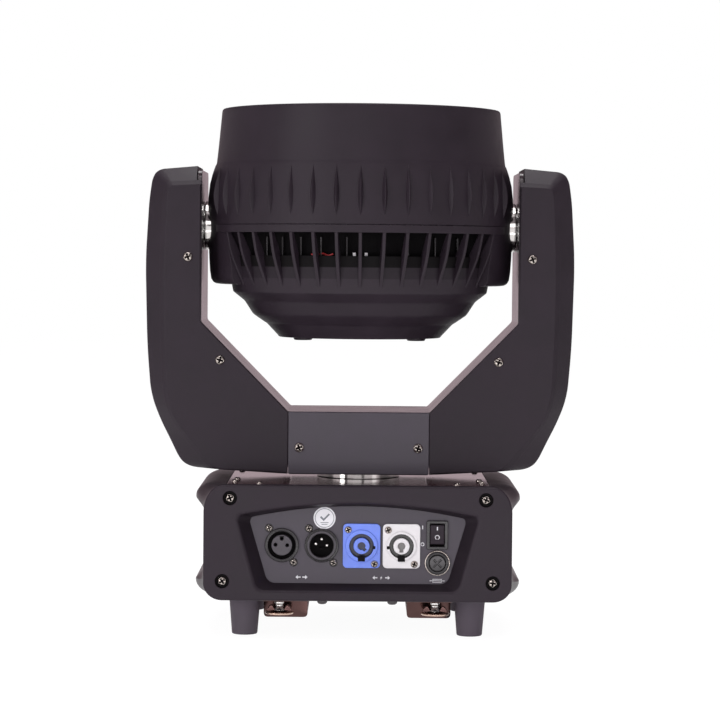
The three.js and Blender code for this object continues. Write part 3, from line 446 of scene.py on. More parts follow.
# Dark chrome's light brown edge colour is partly rubbed wear, partly a painted highlight along the rims of
# the brackets and lock wings.
dark_chrome = finish("dark_chrome", "chrome", (88, 66, 64), 0.2, metallic=1.0, grain=0.03, mottle=0.1,
                     wear_and_highlight=0.3, wear_and_highlight_colour=(170, 140, 128))
bronze = finish("bronze", "chrome", (206, 176, 160), 0.16, metallic=1.0, grain=0.03, mottle=0.08, wear_and_highlight=0.2)
nickel = finish("nickel", "chrome", (186, 176, 170), 0.2, metallic=1.0, grain=0.05, mottle=0.08, wear_and_highlight=0.2)
aluminium = finish("aluminium", "aluminium", (176, 178, 184), 0.36, metallic=1.0, grain=0.15,
                   stretch=(1, 12, 1))
blue_plastic = finish("blue_plastic", "blue_plastic", (110, 138, 236), 0.35, grain=0.1, wear_and_highlight=0.15)
# Painted shade: a dark blue for the blue inlet's groove and the key seen through its key hole.
blue_painted_shade = finish("blue_painted_shade", "gloss_black", (20, 22, 60), 0.3, grain=0.1, wear_and_highlight=0.1)
white_plastic = finish("white_plastic", "white_plastic", (232, 230, 232), 0.35, grain=0.1, mottle=0.04,
                       wear_and_highlight=0.05)
grey_plastic = finish("grey_plastic", "gloss_black", (66, 61, 68), 0.42, wear_and_highlight=0.2)
key_grey = finish("key_grey", "gloss_black", (126, 124, 124), 0.4, grain=0.1, wear_and_highlight=0.1)
paint_white = finish("paint_white", "white_plastic", (236, 236, 240), 0.6, grain=0.05, mottle=0.05,
                     wear_and_highlight=0.0)
mark_grey = finish("mark_grey", "white_plastic", (120, 126, 132), 0.6, grain=0.05, mottle=0.1, wear_and_highlight=0.0)
circuit_board = finish("circuit_board", "circuit_board", (22, 74, 44), 0.4, grain=0.2, grain_scale=600,
                       mottle=0.2)
red_wire = finish("red_wire", "rubber", (170, 36, 40), 0.45, grain=0.1, wear_and_highlight=0.1)
led_amber = finish("led_amber", "white_plastic", (236, 206, 96), 0.3, grain=0.1, mottle=0.1, wear_and_highlight=0.05)
screen_glass = finish("screen_glass", "gloss_black", (22, 34, 58), 0.12, grain=0.01, mottle=0.1, wear_and_highlight=0.05)
display_light = finish("display_light", "gloss_black", (150, 196, 232), 0.4, grain=0.02, mottle=0.1,
                       wear_and_highlight=0.0)
clear_lens = finish("clear_lens", "clear_lens", (236, 240, 244), 0.05, grain=0.0, mottle=0.02, wear_and_highlight=0.0)
clear_tree = clear_lens.node_tree
plug(clear_tree, clear_tree.nodes["Principled BSDF"], {"Transmission Weight": 0.9, "IOR": 1.49})

# ---- Screws ----


def screw_template():
    """A pan-head screw with a cross recess, of head radius 1, standing along z."""
    profile = [(0, 0.62), (0.55, 0.57), (0.86, 0.36), (1, 0.0), (1, -0.12), (0.45, -0.12), (0.45, -1.4),
               (0, -1.4)]
    head = make_object("screw_template", turned(bmesh.new(), profile, rounding=0.12, segments=28, steps=3))
    arms = [slab(bmesh.new(), rectangle(0, 0, *half), [], 0.12, 1.0, rounding=0)
            for half in ((SLOT_REACH, SLOT_HALF), (SLOT_HALF, SLOT_REACH))]
    mesh = cut_away(head, arms).data
    bpy.data.objects.remove(head)
    # Faces inside the cross get the second material, painted shade.
    for face in mesh.polygons:
        x, y, z = (abs(value) / MM for value in face.center)
        inside = min(x, y) < SLOT_HALF * 1.02 and max(x, y) < SLOT_REACH * 1.02 and 0.1 < z < 0.5
        face.material_index = int(inside)
    return mesh


screw_mesh = screw_template()


def screws(name, body, place, spots, radius, height=0.0):
    """A group of alike screws at (x, y) spots of a placing, their heads resting at a height."""
    bm = bmesh.new()
    for number, (x, y) in enumerate(spots):
        copy = screw_mesh.copy()
        turn = (0.35 + 0.9 * number) / TURN
        copy.transform(at(place, x, y, height, turn) @ Matrix.Scale(radius / MM, 4))
        bm.from_mesh(copy)
        bpy.data.meshes.remove(copy)
    piece(name, body, bm, [nickel, slot_painted_shade])


def keep(node, material, rounding=0.25):
    """Gives a CAD node its material, joined corners and softly bevelled edges."""
    obj = frame["nodes"][node]
    obj.data.materials.clear()
    obj.data.materials.append(material)
    obj.data.shade_smooth()
    weld = obj.modifiers.new("weld", "WELD")
    weld.merge_threshold = 0.00001
    bevel = obj.modifiers.new("bevel", "BEVEL")
    bevel.width = rounding * MM
    bevel.segments = 2
    bevel.limit_method = "ANGLE"
    bevel.angle_limit = math.radians(40)
    bevel.harden_normals = True


# ---- Base: bezels, covers and plates ----

EDGE = 1.3  # rounding of the bezels' outer edge
LIP = 1.5   # rounding of the recess's mouth
TOP_CORNER = (14, 18)
BOTTOM_CORNER = (13, 12)
COUNTERBORE = 4.6
SCREW_SINK = 2.4
RECESS_DEPTH = BEZEL_FACE - BEZEL_BACK
BEZEL_SCREWS = [(side * x, z) for x, z in ((88.6, 97.9), (93.7, 40.2)) for side in (-1, 1)]
TOP_SCREWS = [(i * x, j * y) for x, y in ((87, 58), (69, 73), (86, 38)) for i in (-1, 1) for j in (-1, 1)]


def quarter(x, y, wide, high, quadrant, steps=10):
    return arc(x, y, wide, high, quadrant / 4, (quadrant + 1) / 4, steps)


def end_outline(inset):
    """The rounded end of the base, seen along its depth."""
    half, low, high = BASE_HALF_WIDTH - inset, BASE_BOTTOM + inset, BASE_TOP - inset
    top = [r - inset for r in TOP_CORNER]
    foot = [r - inset for r in BOTTOM_CORNER]
    return [
        *quarter(half - foot[0], low + foot[1], *foot, 3),
        *quarter(half - top[0], high - top[1], *top, 0),
        *quarter(top[0] - half, high - top[1], *top, 1),
        *quarter(foot[0] - half, low + foot[1], *foot, 2),
    ]


def recess_outline(inset, slope):
    """A trapezium with an arched top. Slope goes from 0 at its mouth to 1 at its floor."""
    top_half = 85 - inset - 9 * slope
    bottom_half = 70.5 - inset - 8 * slope
    low = 33.5 + inset + 4.5 * slope
    shoulder = 86 - inset - 2.5 * slope
    rise = 95 - 3 * slope - inset - shoulder
    arch = [(top_half * (1 - k / 12), shoulder + rise * (1 - (1 - k / 12) ** 2), 0.0) for k in range(1, 24)]
    return soften([(bottom_half, low), (top_half, shoulder), *arch, (-top_half, shoulder),
                   (-bottom_half, low)], 5)


def end_bezel(end):
    """A moulded end: rounded rim, sloping recess whose wall is darkened with painted shade, and
    counterbores darkened with painted shade.
    """
    bm = bmesh.new()

    def rings(rows):
        loops = [new_ring(bm, ENDS[end], outline, height) for outline, height in rows]
        join(bm, loops)
        return loops

    turns = [0.25 * TURN * k / 4 for k in range(5)]
    outer = [(end_outline(0), BEZEL_BACK)]
    outer += [(end_outline(EDGE * (1 - math.cos(t))), BEZEL_FACE - EDGE * (1 - math.sin(t))) for t in turns]
    inner = []
    for t in reversed(turns):
        depth = LIP * (1 - math.sin(t))
        inner.append((recess_outline(-LIP * (1 - math.cos(t)), depth / RECESS_DEPTH), BEZEL_FACE - depth))
    outer_rings = rings(outer)
    inner_rings = rings(inner)
    floor = recess_outline(0, 1)
    floor_ring = new_ring(bm, ENDS[end], floor, BEZEL_BACK)
    # The recess wall below the lip gets the second material, painted shade.
    bridge(bm, inner_rings[-1], floor_ring, 1)
    fill(bm, [outer[0][0], floor], [outer_rings[0], floor_ring])
    face, face_rings = [outer[-1][0], inner[0][0]], [outer_rings[-1], inner_rings[0]]
    for spot in BEZEL_SCREWS:
        mouth, neck, pit = (circle(*spot, COUNTERBORE + wider, 32) for wider in (0.6, 0.3, -0.3))
        top, step = rings([(mouth, BEZEL_FACE), (neck, BEZEL_FACE - 0.3)])
        bottom = new_ring(bm, ENDS[end], pit, BEZEL_FACE - SCREW_SINK)
        # The counterbore's wall and floor get the third material, painted shade.
        bridge(bm, step, bottom, 2)
        fill(bm, [pit], [bottom], 2)
        face.append(mouth)
        face_rings.append(top)
    fill(bm, face, face_rings)
    piece(f"{end}_bezel_shell", "base", bm, [black_plastic, recess_painted_shade, bore_painted_shade], f"{end}_bezel")
    screws(f"{end}_bezel_screws", "base", ENDS[end], BEZEL_SCREWS, 3.3, BEZEL_FACE - SCREW_SINK)


COVER_WALL = 2.5
GRIP_HALF, GRIP_LOW, GRIP_HIGH, GRIP_SLOPE, GRIP_RUN = 107.5, 45.5, 86.8, 7.5, 31


def cover_section(swell):
    """C-shaped section of a side cover. Swell is 0 at its ends and 1 along its middle."""
    half = BASE_HALF_WIDTH - 0.2
    bulge = lerp(half, BULGE_HALF_WIDTH, swell)
    grip = lerp(half, GRIP_HALF, swell)
    low, high = BASE_BOTTOM + 0.2, TOP_PLATE
    top = (lerp(TOP_CORNER[0], 16, swell), lerp(TOP_CORNER[1], 9.5, swell))
    foot = (lerp(BOTTOM_CORNER[0], 13, swell), lerp(BOTTOM_CORNER[1], 10, swell))

    def path(wall):
        heel = quarter(bulge - foot[0], low + foot[1], foot[0] - wall, foot[1] - wall, 3, 8)
        crown = quarter(bulge - top[0], high - top[1], top[0] - wall, top[1] - wall, 0, 8)
        grips = soften([
            heel[-1],
            (bulge - wall, lerp(low + foot[1] + 1, GRIP_LOW - GRIP_SLOPE, swell)),
            (grip - wall, GRIP_LOW),
            (grip - wall, GRIP_HIGH),
            (bulge - wall, lerp(high - top[1] - 1, GRIP_HIGH + GRIP_SLOPE, swell)),
            crown[0],
        ], 3, closed=False)
        return [Vector((COVER_SEAM, low + wall)), *heel, *grips[1:-1], *crown,
                Vector((COVER_SEAM, high - wall))]

    return path(0) + path(COVER_WALL)[::-1]


def side_cover(hand):
    side = 1 if hand == "right" else -1
    shares = [k / 14 for k in range(15)]
    rows = [(COVER_END - GRIP_RUN * share, share * share * (3 - 2 * share)) for share in shares]
    rows += [(-y, swell) for y, swell in reversed(rows)]
    bm = skin(bmesh.new(), [(mirrored(cover_section(swell), side), -y) for y, swell in rows], REAR)
    piece(f"side_cover_shell_{hand}", "base", bm, cover_plastic, f"side_cover_{hand}")


def top_plate():
    sheet = rectangle(0, 0, COVER_SEAM - 0.3, COVER_END, 1)
    bm = slab(bmesh.new(), sheet, [circle(0, 0, 20, 64)], TOP_PLATE - 1.5, TOP_PLATE, rounding=0.4)
    turned(bm, [(18.4, 92), (26, 92), (26, TOP_PLATE - 1.2), (18.4, TOP_PLATE - 1.2)], rounding=0.5)
    piece("top_plate_sheet", "base", bm, top_painted_sheen, "base_top_plate")
    screws("top_plate_screws", "base", UP, TOP_SCREWS, 2.4, TOP_PLATE + 0.05)


# ---- Connector panel ----

SOCKET_Z = 64.5
SHEET = 1.5
SWITCH = centre("switch_housing")
FUSE = centre("fuse_holder")
FLANGE_WIDE, FLANGE_HIGH = 26, 31
FEMALE_PINS = [(0, 4.6), (-4.3, 0.3), (3.8, 0)]
MALE_PINS = [(0, 4.3), (-4, 1), (3.7, 0)]
DATA_SCREWS = [(-8.9, 11.8), (8.3, -12)]
POWER_SCREWS = [(-9.3, 11.2), (9, -12.5)]
SOCKETS = ["data_socket_out", "data_socket_in", "power_inlet", "power_outlet"]


def recessed_plate(name, end, holes, finish_used, stands_for):
    bm = slab(bmesh.new(), rectangle(0, SOCKET_Z, 84, 33, 4), holes, PANEL - SHEET, PANEL, ENDS[end],
              rounding=0.2)
    piece(name, "base", bm, finish_used, stands_for, slot="grey_metal")


def connector_panel():
    holes = [circle(centre(name).x, SOCKET_Z, 10.0, 48) for name in SOCKETS]
    holes.append(rectangle(SWITCH.x, SWITCH.z, 6.7, 9.3))
    holes.append(circle(FUSE.x, FUSE.z, 7.2, 40))
    recessed_plate("connector_panel", "rear", holes, grey_metal, "connector_plate")


def socket_spot(name):
    """A placing on the face of the connector panel, at a socket's middle."""
    return at(REAR, centre(name).x, SOCKET_Z, PANEL)


def data_socket_female(name="data_socket_out"):
    spot = socket_spot(name)
    profile = [(9.7, -8), (9.7, 1.6), (10.1, 1.9), (10.5, 1.6), (11.0, 1.6), (11.3, 1.9), (11.9, 1.5),
               (11.9, 0.3), (10.6, 0.3), (10.6, -8)]
    piece(f"{name}_ring", "base", turned(bmesh.new(), profile, spot, 0.12), gloss_black, name)
    holes = [circle(*pin, 1.25, 20) for pin in FEMALE_PINS]
    bm = slab(bmesh.new(), circle(0, 0, 7.2, 56), holes, -8, 1.2, spot, steps=3)
    piece(f"{name}_core", "base", bm, grey_plastic)
    # The floor deep in the socket is near black: painted shade.
    bm = slab(bmesh.new(), circle(0, 0, 10.2, 40), [], -9, -5, spot)
    slab(bm, soften([(-1.6, 6.3), (1.6, 6.3), (1.4, 5.4), (-1.4, 5.4)], 0.3), [], 1.15, 1.3, spot, 0)
    piece(f"{name}_floor", "base", bm, bore_painted_shade)


def data_socket_male(name="data_socket_in"):
    spot = socket_spot(name)
    profile = [(8.1, -8), (8.1, 1.2), (8.6, 1.6), (10.2, 1.6), (10.4, 1.3), (10.7, 1.6), (11.3, 1.9),
               (11.8, 1.5), (11.8, 0.3), (9.4, 0.3), (9.4, -8)]
    piece(f"{name}_ring", "base", turned(bmesh.new(), profile, spot, 0.12), gloss_black, name)
    bm = turned(bmesh.new(), [(8.55, 1.5), (8.75, 1.85), (9.9, 1.85), (10.1, 1.5)], spot, 0.1)
    piece(f"{name}_collar", "base", bm, grey_plastic)
    # The floor deep in the socket is near black: painted shade.
    bm = slab(bmesh.new(), circle(0, 0, 9.2, 40), [], -9.4, -7.6, spot, 0.2)
    slab(bm, rectangle(0, -2.6, 1.3, 0.5, 0.2), [], -7.6, -1.5, spot, 0.1)
    piece(f"{name}_floor", "base", bm, bore_painted_shade)
    bm = bmesh.new()
    for pin in MALE_PINS:
        turned(bm, [(0, 0.4), (0.9, 0.1), (1.1, -0.6), (1.1, -8), (0, -8)], at(spot, *pin), 0.2, 20)
    piece(f"{name}_pins", "base", bm, chrome)


def data_screws(name):
    """The two screws of a data socket and the dark rings round them."""
    spot = socket_spot(name)
    screws(f"{name}_screws", "base", spot, DATA_SCREWS, 2.35, 0.2)
    bm = bmesh.new()
    for place in DATA_SCREWS:
        turned(bm, [(2.3, 0.0), (2.3, 0.25), (3.0, 0.25), (3.0, 0.0)], at(spot, *place), 0.05, 32)
    piece(f"{name}_washers", "base", bm, gloss_black)


def key_hole(head, tail_half, tail_end, turn):
    """A round hole with a tail, turned about its centre."""
    spread = math.asin(tail_half / head) / TURN
    points = arc(0, 0, head, head, spread - 0.25, 0.75 - spread, 24)
    points += [Vector((-tail_half, -tail_end)), Vector((tail_half, -tail_end))]
    spin = Matrix.Rotation(turn, 2)
    return [spin @ p for p in points]


def power_socket(name, base, deep, key, ring_radius, hole, notch):
    """A locking power socket: flange, raised ring, round groove and a keyed core."""
    spot = socket_spot(name)
    flange = rectangle(0, 0, FLANGE_WIDE / 2, FLANGE_HIGH / 2, 3)
    bm = slab(bmesh.new(), flange, [circle(0, 0, 8.5, 64)], 0.3, 1.9, spot, 0.35)
    turned(bm, [(8.5, 1.0), (8.5, 3.1), (ring_radius, 3.1), (ring_radius, 1.0)], spot)
    piece(f"{name}_flange", "base", bm, base, name)
    # The groove and the key get the deep colour; for the blue inlet that is dark blue painted shade.
    bm = turned(bmesh.new(), [(8.5, -9), (8.5, 2.6), (8.45, 2.6), (8.4, -8.6), (0, -8.6), (0, -9)], spot,
                0.02)
    turned(bm, [(5.75, -8.6), (8.4, -8.6), (8.4, -1.0), (5.75, -1.0)], spot, 0.2)
    piece(f"{name}_groove", "base", bm, deep)
    bm = slab(bmesh.new(), circle(0, 0, 5.65, 56), [hole], -8, 2.7, spot, steps=3)
    piece(f"{name}_core", "base", bm, base)
    bm = slab(bmesh.new(), circle(0, 0, 5.6, 40), [], -8.6, 0.6, spot, 0.1)
    piece(f"{name}_key", "base", bm, key)
    # The slots in the flange are near black: painted shade in their depth.
    bm = bmesh.new()
    for outline in (rectangle(0, -8.75, 2.5, 1.9, 0.3), rectangle(*notch, 0.9, 1.1, 0.5)):
        slab(bm, outline, [], 2.2, 3.16, spot, 0.02, 1)
    piece(f"{name}_slots", "base", bm, bore_painted_shade)
    screws(f"{name}_screws", "base", spot, POWER_SCREWS, 2.6, 1.9)


def power_switch():
    spot = at(REAR, SWITCH.x, SWITCH.z, PANEL)
    pocket = rectangle(0, 0, 5.05, 7.9, 0.3)
    wall = grow(pocket, 0.8)
    bm = slab(bmesh.new(), rectangle(0, 0, 7.5, 10.1, 1.2), [pocket], 0.3, 1.9, spot, 0.5, 3)
    slab(bm, wall, [pocket], -8.0, 0.6, spot, 0)
    slab(bm, wall, [], -9.0, -8.0, spot, 0)
    piece("switch_housing_shell", "base", bm, gloss_black, "switch_housing")
    hinge = next(j for j in frame["joints"] if j["name"] == "power_switch")
    pivot = Matrix.Translation(Vector(hinge["pos_m"]) / MM) @ Matrix.Rotation(math.radians(-8), 4, "X")
    side = [(-2.9, -6.9), (2.2, -6.9), (4.9, -6.5), (5.1, -6.1), (4.55, 0, 6), (5.1, 6.1), (4.9, 6.5),
            (2.2, 6.9), (-2.9, 2.2), (-2.9, -2.2)]
    bm = slab(bmesh.new(), soften(side, 0.5), [], -4.75, 4.75, pivot @ LEFT, 0.4, 3)
    piece("switch_rocker_cap", "rocker", bm, black_plastic, "switch_rocker", slot="gloss_black")
    bm = slab(bmesh.new(), rectangle(0, 4.2, 0.4, 1.5, 0.1, steps=1), [], 4.6, 5.02, pivot @ REAR, 0)
    slab(bm, circle(0, -2.1, 1.7, 32), [circle(0, -2.1, 1.15, 32)], 4.5, 4.86, pivot @ REAR, 0)
    piece("switch_rocker_marks", "rocker", bm, paint_white)


def fuse():
    spot = at(REAR, FUSE.x, FUSE.z, PANEL)
    collar = [(6, -3), (6, 2.6), (6.9, 2.6), (8.2, 2.1), (8.7, 1.4), (8.7, 0.3), (7.0, 0.3), (7.0, -3)]
    piece("fuse_holder_collar", "base", turned(bmesh.new(), collar, spot, 0.2), gloss_black,
          "fuse_holder")
    bm = turned(bmesh.new(), [(8.0, 0.2), (8.0, 1.9), (8.35, 2.25), (8.85, 1.9), (8.85, 0.2)], spot, 0.15)
    piece("fuse_holder_rim", "base", bm, nickel)
    bm = turned(bmesh.new(), [(0, -3), (5.6, -3), (5.6, 3.4), (0, 3.4)], spot, 0.5, steps=3)
    bars = [slab(bmesh.new(), rectangle(0, 0, 3.7, 0.55), [], 1.4, 5, at(spot, 0, 0, turn=turn), 0)
            for turn in (0.125, -0.125)]
    cap = cut_away(make_object("fuse_cap_turned", bm), bars)
    dress(cap, "fuse_cap", smoke_metal, "fuse_cap", slot="gloss_black")


# ---- Pictograms on the panel, and the inspection sticker ----

PRINT = 0.12  # thickness of a printed mark
MARKS_Z = 42.2
FUSE_MARK_Z = 40.4
ARROW = [(-0.5, -0.12), (0.05, -0.12), (0.05, -0.42), (0.5, 0), (0.05, 0.42), (0.05, 0.12), (-0.5, 0.12)]
BOLT = [(0.5, 1.5), (-0.9, -0.2), (-0.1, -0.2), (-0.6, -1.5), (0.9, 0.3), (0.1, 0.3)]
TICK = [(-3.2, 0.4), (-2.3, 1.3), (-0.6, -0.4), (2.9, 3.2), (3.7, 2.4), (-0.6, -2.1)]


def panel_marks():
    bm = bmesh.new()

    def mark(outline, holes=()):
        slab(bm, outline, list(holes), 0.0, PRINT, at(REAR, 0, 0, PANEL), 0)

    def arrows(middle, apart, length):
        for side in (-1, 1):
            points = [(middle + side * (apart + x * length), MARKS_Z + z * length) for x, z in ARROW]
            mark([Vector(p) for p in points[::side]])

    arrows((centre("data_socket_out").x + centre("data_socket_in").x) / 2, 2.4, 3.6)
    power_x = (centre("power_inlet").x + centre("power_outlet").x) / 2
    mark([Vector((power_x + x, MARKS_Z + z)) for x, z in BOLT])
    arrows(power_x, 4.4, 3.4)
    mark(rectangle(FUSE.x, FUSE_MARK_Z, 3.2, 1.3), [rectangle(FUSE.x, FUSE_MARK_Z, 2.75, 0.85)])
    mark(rectangle(FUSE.x, FUSE_MARK_Z, 5.2, 0.25))
    on_off_x = SWITCH.x - 10.2
    mark(rectangle(on_off_x, SWITCH.z + 5.2, 0.35, 1.3))
    mark(circle(on_off_x, SWITCH.z - 6.6, 1.35, 24), [circle(on_off_x, SWITCH.z - 6.6, 0.8, 24)])
    piece("panel_marks", "base", bm, paint_white)


def inspection_sticker():
    """A round label with a ring, a tick and two lines."""
    spot = at(REAR, -23.2, 83.6, PANEL)
    bm = slab(bmesh.new(), circle(0, 0, 7.7, 56), [], 0.0, 0.15, spot, 0.05, 1)
    piece("inspection_sticker", "base", bm, paint_white)
    bm = slab(bmesh.new(), circle(0, 0, 6.7, 48), [circle(0, 0, 6.3, 48)], PRINT, 0.2, spot, 0)
    for outline in ([Vector(p) for p in TICK], rectangle(0, -3.2, 2.8, 0.22),
                    rectangle(0, -4.4, 2.08, 0.22)):
        slab(bm, outline, [], PRINT, 0.2, spot, 0)
    piece("inspection_sticker_print", "base", bm, mark_grey)


# ---- Under the base ----


def foot(name):
    low, high = box_mm(name)
    x, y = centre(name).xy
    radius, top = (high.x - low.x) / 2, high.z
    profile = [(0, 1.2), (3.4, 1.2), (4.2, 0.0), (radius - 2.4, 0), (radius - 2.0, 0.8),
               (radius - 0.1, top - 2.2), (radius, top - 1.5), (radius, top), (0, top)]
    piece(f"{name}_pad", "base", turned(bmesh.new(), profile, at(UP, x, y), 0.5), rubber, name)
    screws(f"{name}_screw", "base", DOWN, [(x, -y)], 2.6, -2.7)


def bracket_lock(name):
    """A quarter-turn lock: a stud on a round plate with a bright rim, and two wings."""
    x, y = centre(name).xy
    spot = at(UP, x, y)
    bm = turned(bmesh.new(), [(0, 17), (4.4, 17), (2.9, 20.6), (2.9, 21.4), (3.4, 22.4), (3.4, 23.8),
                              (2.4, 24.5), (0, 24.5)], spot, 0.6, steps=3)
    turned(bm, [(0, 24.3), (3, 24.3), (3, 31), (0, 31)], spot, segments=32)
    piece(f"{name}_stud", name, bm, chrome, name)
    rim = [(8.6, 15.0), (9.6, 15.0), (10.2, 15.7), (10.2, 16.2), (9.4, 16.9), (8.6, 16.6)]
    piece(f"{name}_rim", name, turned(bmesh.new(), rim, spot, 0.25, steps=3), bronze)
    bm = turned(bmesh.new(), [(0, 15.2), (9.0, 15.2), (9.0, 16.2), (4.6, 17.4), (0, 17.4)], spot, 0.4)
    wing = [(9.0, 16.0), (8.6, 18.6), (6.4, 21.2), (4.8, 21.4), (3.6, 18.4)]
    wings = [(-9.0, 16.0), *wing, *((-x, z) for x, z in reversed(wing[1:]))]
    slab(bm, soften(wings, 1.4), [], -1.6, 1.6, at(REAR, x, 0, -y), 0.6, 3)
    piece(f"{name}_wings", name, bm, dark_chrome)


def tray_bolts():
    """Domed bolts under the ends of the base."""
    bm = bmesh.new()
    for y in (-88.5, 88.5):
        for x in (-24.3, 24.3):
            spot = at(DOWN, x, y, -BASE_BOTTOM)
            turned(bm, [(0, 2.6), (2.4, 2.6), (3.5, 1.4), (3.5, -0.6), (0, -0.6)], spot, 0.5, 32)
    piece("tray_bolts", "base", bm, black_metal)


# ---- Menu panel on the front ----

DISPLAY_Z, DISPLAY_WIDE, DISPLAY_HIGH = 72, 34, 13
BUTTON_Z = 48
BUTTON_X = [(1.5 - k) * 18 for k in range(4)]
BUTTONS = [f"menu_button_{number}" for number in range(1, 5)]


def window(wider, reach):
    return rectangle(0, DISPLAY_Z, DISPLAY_WIDE + wider, DISPLAY_HIGH + wider, reach)


def menu():
    holes = [window(0, 1.5), *(circle(x, BUTTON_Z, 4.8, 40) for x in BUTTON_X)]
    recessed_plate("menu_panel_plate", "front", holes, gloss_black, "menu_panel")
    bm = slab(bmesh.new(), window(-0.3, 1.2), [], 78, PANEL - 0.4, FRONT)
    piece("display_glass", "base", bm, screen_glass, "display_module")
    bm = slab(bmesh.new(), rectangle(0, 62, 45, 26), [], 73.5, 75.1, FRONT, 0.1)
    for x in (-30, 30):
        slab(bm, rectangle(x, DISPLAY_Z, 2, 2), [], 75, 78.1, FRONT, 0.1)
    piece("display_board", "base", bm, circuit_board)
    bm = bmesh.new()
    for row, share in ((6.2, 0.8), (0.6, 0.55), (-5.0, 0.68)):
        bar = rectangle(-26 * (1 - share), DISPLAY_Z + row, 26 * share, 1.1, 0.3, steps=1)
        slab(bm, bar, [], PANEL - 0.42, PANEL - 0.34, FRONT, 0)
    piece("display_bars", "base", bm, display_light)
    bm = slab(bmesh.new(), window(1.6, 2), [window(0, 1.5)], PANEL, PANEL + 0.9, FRONT, 0.35)
    piece("display_frame", "base", bm, black_plastic, slot="gloss_black")
    marks = bmesh.new()
    for x, name, turn in zip(BUTTON_X, BUTTONS, (0.25, 0.75, 0.5, 0.0)):
        cap = [(0, -6), (6.5, -6), (6.5, -3.2), (4.5, -3.2), (4.5, 2.1), (3.0, 2.2), (0, 1.9)]
        bm = turned(bmesh.new(), cap, at(FRONT, x, BUTTON_Z, PANEL), 0.5, steps=3)
        piece(f"{name}_cap", name, bm, rubber, name)
        triangle = [Vector((-1.1, -1.2)), Vector((1.3, 0)), Vector((-1.1, 1.2))]
        slab(marks, triangle, [], 0, PRINT, at(FRONT, x, BUTTON_Z + 9.5, PANEL, turn), 0)
    piece("menu_marks", "base", marks, paint_white)

def base():
    for end in ENDS:
        end_bezel(end)
        for hand in HANDS:
            foot(f"foot_{end}_{hand}")
    for hand in HANDS:
        side_cover(hand)
        keep(f"omega_bracket_{hand}", dark_chrome, 0.5)
    top_plate()
    connector_panel()
    data_socket_female()
    data_socket_male()
    data_screws("data_socket_out")
    data_screws("data_socket_in")
    power_socket("power_inlet", blue_plastic, blue_painted_shade, blue_painted_shade, 11.2, key_hole(2.7, 1.1, 4.2, 0.7),
                 (8.7, -0.9))
    power_socket("power_outlet", white_plastic, gloss_black, key_grey, 10.2, key_hole(2.65, 1.3, 4.3, 0),
                 (-9.3, -1))
    power_switch()
    fuse()
    panel_marks()
    inspection_sticker()
    menu()
    for number in range(1, 5):
        bracket_lock(f"bracket_lock_{number}")
    tray_bolts()
    keep("base_tray", black_metal, 0.4)
    keep("pan_motor", black_metal, 0.8)
    keep("pan_motor_pulley", aluminium)
    keep("pan_belt", rubber, 0.2)
    keep("power_supply", aluminium, 0.6)


# ---- Yoke ----

INNER_FACE = 112.5
ARM_INSIDE = INNER_FACE + 0.3
KNEE = 218.4
BAR_TOP = 155
BAR_HALF = 50.3
STRIP_THICK = 3
STRIP_TOP = ARM_TOP - 3
STRIP_HALF_DEPTH = ARM_FACE - 2.8
STRIP_CROWN = 5
BEVEL_DEPTH = 11
SEAM_GAP = 0.15
ARM_SCREWS = [(122.2, 264.4), (98.9, 191.3)]
BAR_SCREWS = [(-42.2, 129.6), (42.2, 129.6)]

# Outer side of half an arm as (x, z, reach of the rounding), from its foot up: the edge of its flat
# face, and its silhouette at the foot of the bevel.
ARM_OUTLINE = [(99, 113.4, 3), (104, 116, 3), (108, 120.5, 4), (120, 134.7, 6), (132.5, 150, 8),
               (137, 167, 8), (138.6, 202, 12), (139.5, 255, 12), (137.5, 306, 3), (136.5, 313, 2),
               (134, 315, 2)]
ARM_SILHOUETTE = [(118, 114.2, 3), (124.5, 116.8, 3), (128.5, 121.5, 4), (134, 133, 6), (142.6, 150, 8),
                  (148.7, 167, 8), (151.5, 202, 12), (153, 262, 12), (150.6, 304.5, 6), (148.3, 321, 4),
                  (144, 326.5, 4)]
FACE_CROWN, SILHOUETTE_CROWN = 316, 329


def arm_outline(share, inset, depth):
    """One arm's outline, from the edge of its face (share 0) to its silhouette (share 1).

    Its inner side lies a depth behind the metal strip.
    """
    lean = math.atan2(KNEE - BAR_TOP, INNER_FACE - BAR_HALF)
    knee_lift = depth * math.tan((0.25 * TURN - lean) / 2)
    foot_x = BAR_HALF + depth * math.sin(lean) + depth * math.cos(lean) / math.tan(lean)
    outer = [[lerp(a, b, share) for a, b in zip(*pair)] for pair in zip(ARM_OUTLINE, ARM_SILHOUETTE)]
    crown = (ARM_INSIDE + depth, lerp(FACE_CROWN, SILHOUETTE_CROWN, share))
    knee = (ARM_INSIDE + depth, KNEE - knee_lift)
    points = soften([(foot_x, YOKE_FLOOR), *outer, crown, knee, (foot_x, BAR_TOP - 0.3)], 0.4, steps=4)
    return grow(points, -inset)


